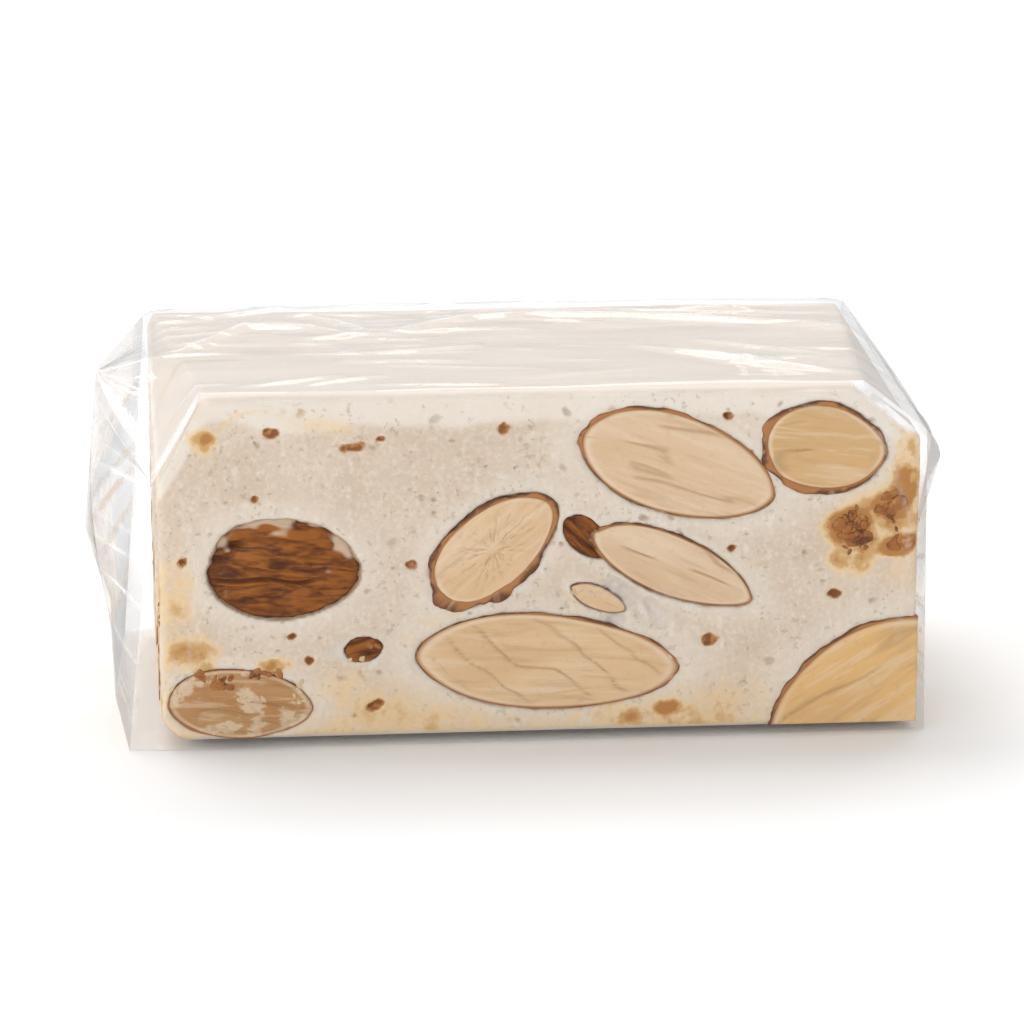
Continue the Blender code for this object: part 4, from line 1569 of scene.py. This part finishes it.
def end_rings(end):
    """Rings from the bar's bevel out to the fin, nearest the bar first, with their creases and painted
    highlights.
    """
    y, z = section.T
    start, start_crease_and_highlight = body_ring(end["side"] * (BAR_LENGTH / 2 - bevel_inset(end, y, z)), y, z)
    plane = end_plane_ring(end, y, z)
    fin = fin_ring(end, y, z)
    fold, fold_crease = pleats(z)
    # A painted highlight at the front top corner of each end.
    near_corner = ease(1.8, 0.7, np.hypot(y + FILM_HALF, z - FILM_TOP) / MM)
    painted_corner_highlight = near_corner * end["corner_highlight"]
    ridge = RIDGE_WHITE * ease(0.60, 0.25, np.abs(y - FIN_PLACE) / MM) * ON_TOP
    fold_crease = np.maximum(fold_crease, ridge)
    rings = []
    for step in range(1, BEVEL_STEPS + 1):
        share = step / BEVEL_STEPS
        turn_edge = 0.45 * ease(0.8, 1.0, share) * (z > FOOT_HEIGHT)
        crease_and_highlight = np.maximum(np.maximum(start_crease_and_highlight * (1 - share), turn_edge), painted_corner_highlight)
        rings.append((start + (plane - start) * share, crease_and_highlight))
    for step in range(1, FIN_STEPS + 1):
        share = step / FIN_STEPS
        ring = plane + (fin - plane) * share
        ring[:, 0] += end["side"] * fold * math.sin(math.pi * share) ** 0.8
        edge = ease(0.85, 1.0, share) * 0.6
        crease_and_highlight = np.maximum(fold_crease * math.sin(math.pi * min(share + 0.1, 1.0)) ** 0.5, edge)
        rings.append((ring, crease_and_highlight))
    return rings


def bevel_highlight(x, y, z, edge):
    """White painted where the film turns over the bevel on the right, seen from the front: a painted
    highlight.
    """
    on_bevel = (y < -FILM_HALF + TOP_RADIUS) & (z > FILM_TOP - RIGHT_END["bevel_drop"])
    return BEVEL_HIGHLIGHT_WHITE * ease(1.3, 0.5, (edge - x) / MM) * on_bevel


def film_rings():
    """All rings from the left fin to the right one."""
    y, z = section.T
    left = -BAR_LENGTH / 2 + bevel_inset(LEFT_END, y, z)
    right = BAR_LENGTH / 2 - bevel_inset(RIGHT_END, y, z)
    body = []
    for share in np.linspace(0, 1, BODY_STEPS + 1):
        ring, crease_and_highlight = body_ring(left + (right - left) * share, y, z)
        body.append((ring, np.maximum(crease_and_highlight, bevel_highlight(ring[:, 0], y, z, right))))
    rings = end_rings(LEFT_END)[::-1] + body + end_rings(RIGHT_END)
    return np.array([ring for ring, _ in rings]), np.array([crease_and_highlight for _, crease_and_highlight in rings])


rings, creases_and_highlights = film_rings()
ring_count, row_count = rings.shape[:2]
print(ring_count, "rings of", row_count, "points")

# %% [markdown]
# The film's finish is worked out from what thin clear film does: nearly all light passes straight
# through, a little is mirrored, and much more is mirrored at a glancing angle. A refracting glass shader
# would need a wall with two sides, and it would darken what lies close behind, so a clear shader and a
# mirror shader are mixed. Where the film is creased, it turns slightly white, and the same white is
# painted as highlights on the right bevel and the ends' front top corners, and as glare over the top.

# %% Material: clear film
FILM_TINT = (0.970, 0.970, 0.972, 1)
STRAIGHT_ON = 0.012
GLANCING = 0.80
MOST_WHITE = 0.93
# The white of creases, also used for painted highlights and glare.
CREASE_AND_HIGHLIGHT_WHITE = (0.96, 0.96, 0.97, 1)


def film_finish():
    material = bpy.data.materials.new("clear_film")
    material.use_nodes = True
    material.node_tree.nodes.clear()
    wire = Wiring(material.node_tree)
    position = on_object(wire)
    wrinkle = wire.noise(position, stretch=(70, 330, 330), detail=2, distortion=0.4)
    crackle = wire.noise(position, stretch=(240, 600, 400), detail=2)
    height = wire.total(wrinkle, wire.product(crackle, 0.15))
    normal = wire.bump(height, 0.25, 0.4 * MM)
    facing = wire.add("ShaderNodeLayerWeight", {"Blend": 0.5, "Normal": normal}, output=1)
    mirrored = wire.math("MULTIPLY_ADD", wire.math("POWER", facing, 4.5), GLANCING, STRAIGHT_ON)
    gloss = {"Color": (1, 1, 1, 1), "Roughness": 0.06, "Normal": normal}
    gloss = wire.add("ShaderNodeBsdfGlossy", gloss)
    clear = wire.add("ShaderNodeBsdfTransparent", {"Color": FILM_TINT})
    film = wire.add("ShaderNodeMixShader", {0: mirrored, 1: clear, 2: gloss})
    white = wire.add("ShaderNodeBsdfDiffuse", {"Color": CREASE_AND_HIGHLIGHT_WHITE})
    # White where the film is creased, and white painted as highlights and glare.
    patchy = wire.step(wire.noise(position, scale=420, detail=2), 0.35, 0.6, 0.45, 1.0)
    crease_and_highlight_share = wire.math("MINIMUM", wire.product(stored(wire, "crease_and_highlight"), patchy, 0.85), MOST_WHITE)
    film = wire.add("ShaderNodeMixShader", {0: crease_and_highlight_share, 1: film, 2: white})
    wire.add("ShaderNodeOutputMaterial", {"Surface": film})
    return material


# %% Build the film
def film_mesh():
    """The rings joined into one skin, shut at both fins."""
    index = np.arange(ring_count * row_count).reshape(ring_count, row_count)
    after = np.roll(index, -1, axis=1)
    quads = np.stack([index[:-1], after[:-1], after[1:], index[1:]], axis=-1).reshape(-1, 4)
    piece = mesh_object("film_wrapper", rings.reshape(-1, 3), quads, film_finish())
    paint(piece.data, "crease_and_highlight", creases_and_highlights.reshape(-1))
    mesh = bmesh.new()
    mesh.from_mesh(piece.data)
    mesh.verts.ensure_lookup_table()
    for ring in (index[0], index[-1]):
        for i in range(row_count // 2):
            corners = (ring[i], ring[i + 1], ring[row_count - i - 1], ring[-i])
            corners = list(dict.fromkeys(mesh.verts[k] for k in corners))
            mesh.faces.new(corners)
    bmesh.ops.recalc_face_normals(mesh, faces=mesh.faces)
    mesh.to_mesh(piece.data)
    mesh.free()
    piece.data.shade_smooth()
    piece.data.set_sharp_from_angle(angle=math.radians(32))
    return piece


film = film_mesh()
print("film_wrapper:", len(film.data.polygons), "faces")

# %% [markdown]
# ## Into the frame
#
# The imported solid is centred on its own box, so everything moves by the same small step. Each piece then
# says which body it rides on, and the imported solid is hidden.

film_points = rings.reshape(-1, 3)
film_middle = (film_points.min(axis=0) + film_points.max(axis=0)) / 2
shift = (wrapper_low + wrapper_high) / 2 - Vector(film_middle)
shift.z = 0.0
print("shift to the packed frame, in mm:", [round(value / MM, 3) for value in shift])
SLOTS = {
    nougat: "nougat",
    almond_flesh: "almond",
    almond_rims: "almond_skin",
    whole_almonds: "almond_skin",
    broken_bits: "almond_skin",
    paste_crumbs: "nougat",
    film: "film",
}
for piece, slot in SLOTS.items():
    piece.data.transform(Matrix.Translation(shift))
    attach(piece, "root")
    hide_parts("wrapped_bar")

# %% [markdown]
# ## Studio
#
# A white table, a white room, and soft light from above and behind, so that the top is brightest and the
# film's folds catch streaks of light. The room is white where the camera sees it, but darker low down
# for everything else: with a white room on all sides, clear film would look like fog.


# %% Table
def studio_floor():
    bpy.ops.mesh.primitive_circle_add(vertices=96, radius=3.0, fill_type="NGON")
    floor = bpy.context.object
    floor.name = "floor"
    material, wire, shader = new_finish("floor")
    tone = wire.noise(on_object(wire), scale=6)
    tone = blend(wire, tone, (0.92, 0.92, 0.92, 1), (0.94, 0.94, 0.94, 1))
    away = wire.add("ShaderNodeVectorMath", {0: on_object(wire)}, output=1, operation="LENGTH")
    glow = {"Emission_Color": (1, 1, 1, 1), "Emission_Strength": wire.step(away, 0.3, 1.2, 0.0, 0.35)}
    feed(wire, shader, Base_Color=tone, Roughness=0.8, **glow)
    floor.data.materials.append(material)
    floor.visible_glossy = False


studio_floor()


# %% Light
def studio_room():
    world = bpy.data.worlds.new("studio")
    bpy.context.scene.world = world
    world.use_nodes = True
    world.node_tree.nodes.clear()
    wire = Wiring(world.node_tree)
    parts = wire.parts(wire.add("ShaderNodeTexCoord"))
    below = wire.step(parts[2], -0.20, 0.05, 0.34, 0.54)
    level = wire.total(below, wire.step(parts[2], 0.05, 0.9, 0.0, 0.20))
    seen = wire.tree.nodes.new("ShaderNodeLightPath")
    mirrored = wire.step(parts[2], -0.20, 0.10, 0.50, 0.57)
    level = wire.step(seen.outputs["Is Glossy Ray"], 0.0, 1.0, level, mirrored, kind="LINEAR")
    room = wire.add("ShaderNodeBackground", {"Color": (1, 1, 1, 1), "Strength": level})
    white = wire.add("ShaderNodeBackground", {"Color": (1, 1, 1, 1), "Strength": 1.0})
    both = wire.add("ShaderNodeMixShader", {0: seen.outputs[0], 1: room, 2: white})
    wire.add("ShaderNodeOutputWorld", {"Surface": both})


def place_lamp(name, lamp, place, target=Vector((0, 0, 0.015))):
    """Puts a lamp at a place in metres and turns it to the bar."""
    piece = bpy.data.objects.new(name, lamp)
    piece.location = place
    piece.rotation_mode = "QUATERNION"
    piece.rotation_quaternion = (Vector(place) - target).to_track_quat("Z", "Y")
    piece.visible_camera = False
    bpy.context.scene.collection.objects.link(piece)


def softbox(name, place, width, height, radiance):
    """An area lamp of this size, with its power worked out from how bright its face is."""
    lamp = bpy.data.lights.new(name, "AREA")
    lamp.shape = "RECTANGLE"
    lamp.size, lamp.size_y = width, height
    lamp.energy = radiance * math.pi * width * height
    place_lamp(name, lamp, place)


def sunlight(name, place, strength, angle):
    lamp = bpy.data.lights.new(name, "SUN")
    lamp.energy = strength
    lamp.angle = math.radians(angle)
    place_lamp(name, lamp, place)


studio_room()
sunlight("soft_key", (-0.35, 0.45, 1.0), strength=0.77, angle=30)
softbox("back_softbox", (0.05, 0.42, 0.50), width=0.60, height=0.22, radiance=3.3)
softbox("front_fill", (-0.40, -0.72, 0.20), width=0.60, height=0.40, radiance=2.2)
softbox("left_strip", (-0.60, 0.10, 0.25), width=0.12, height=0.50, radiance=4.0)


# %% Camera
def camera_at(azimuth, elevation, distance, target, width):
    """A camera that sees this width at the target's distance."""
    data = bpy.data.cameras.new("camera")
    data.sensor_width = 36.0
    data.lens = data.sensor_width * distance / width
    camera = bpy.data.objects.new("camera", data)
    a, e = math.radians(azimuth), math.radians(elevation)
    back = Vector((math.sin(a) * math.cos(e), -math.cos(a) * math.cos(e), math.sin(e)))
    camera.location = target + back * distance
    camera.rotation_mode = "QUATERNION"
    camera.rotation_quaternion = back.to_track_quat("Z", "Y")
    data.clip_start, data.clip_end = 0.01, 20.0
    bpy.context.scene.collection.objects.link(camera)
    bpy.context.scene.camera = camera


BAR_MIDDLE = Vector((0.0, 0.0, 0.0158))
camera_at(azimuth=-5.7, elevation=12.8, distance=0.385, target=BAR_MIDDLE, width=0.094)
bpy.context.scene.view_settings.view_transform = "Standard"
print("camera lens, in mm:", round(bpy.context.scene.camera.data.lens, 1))
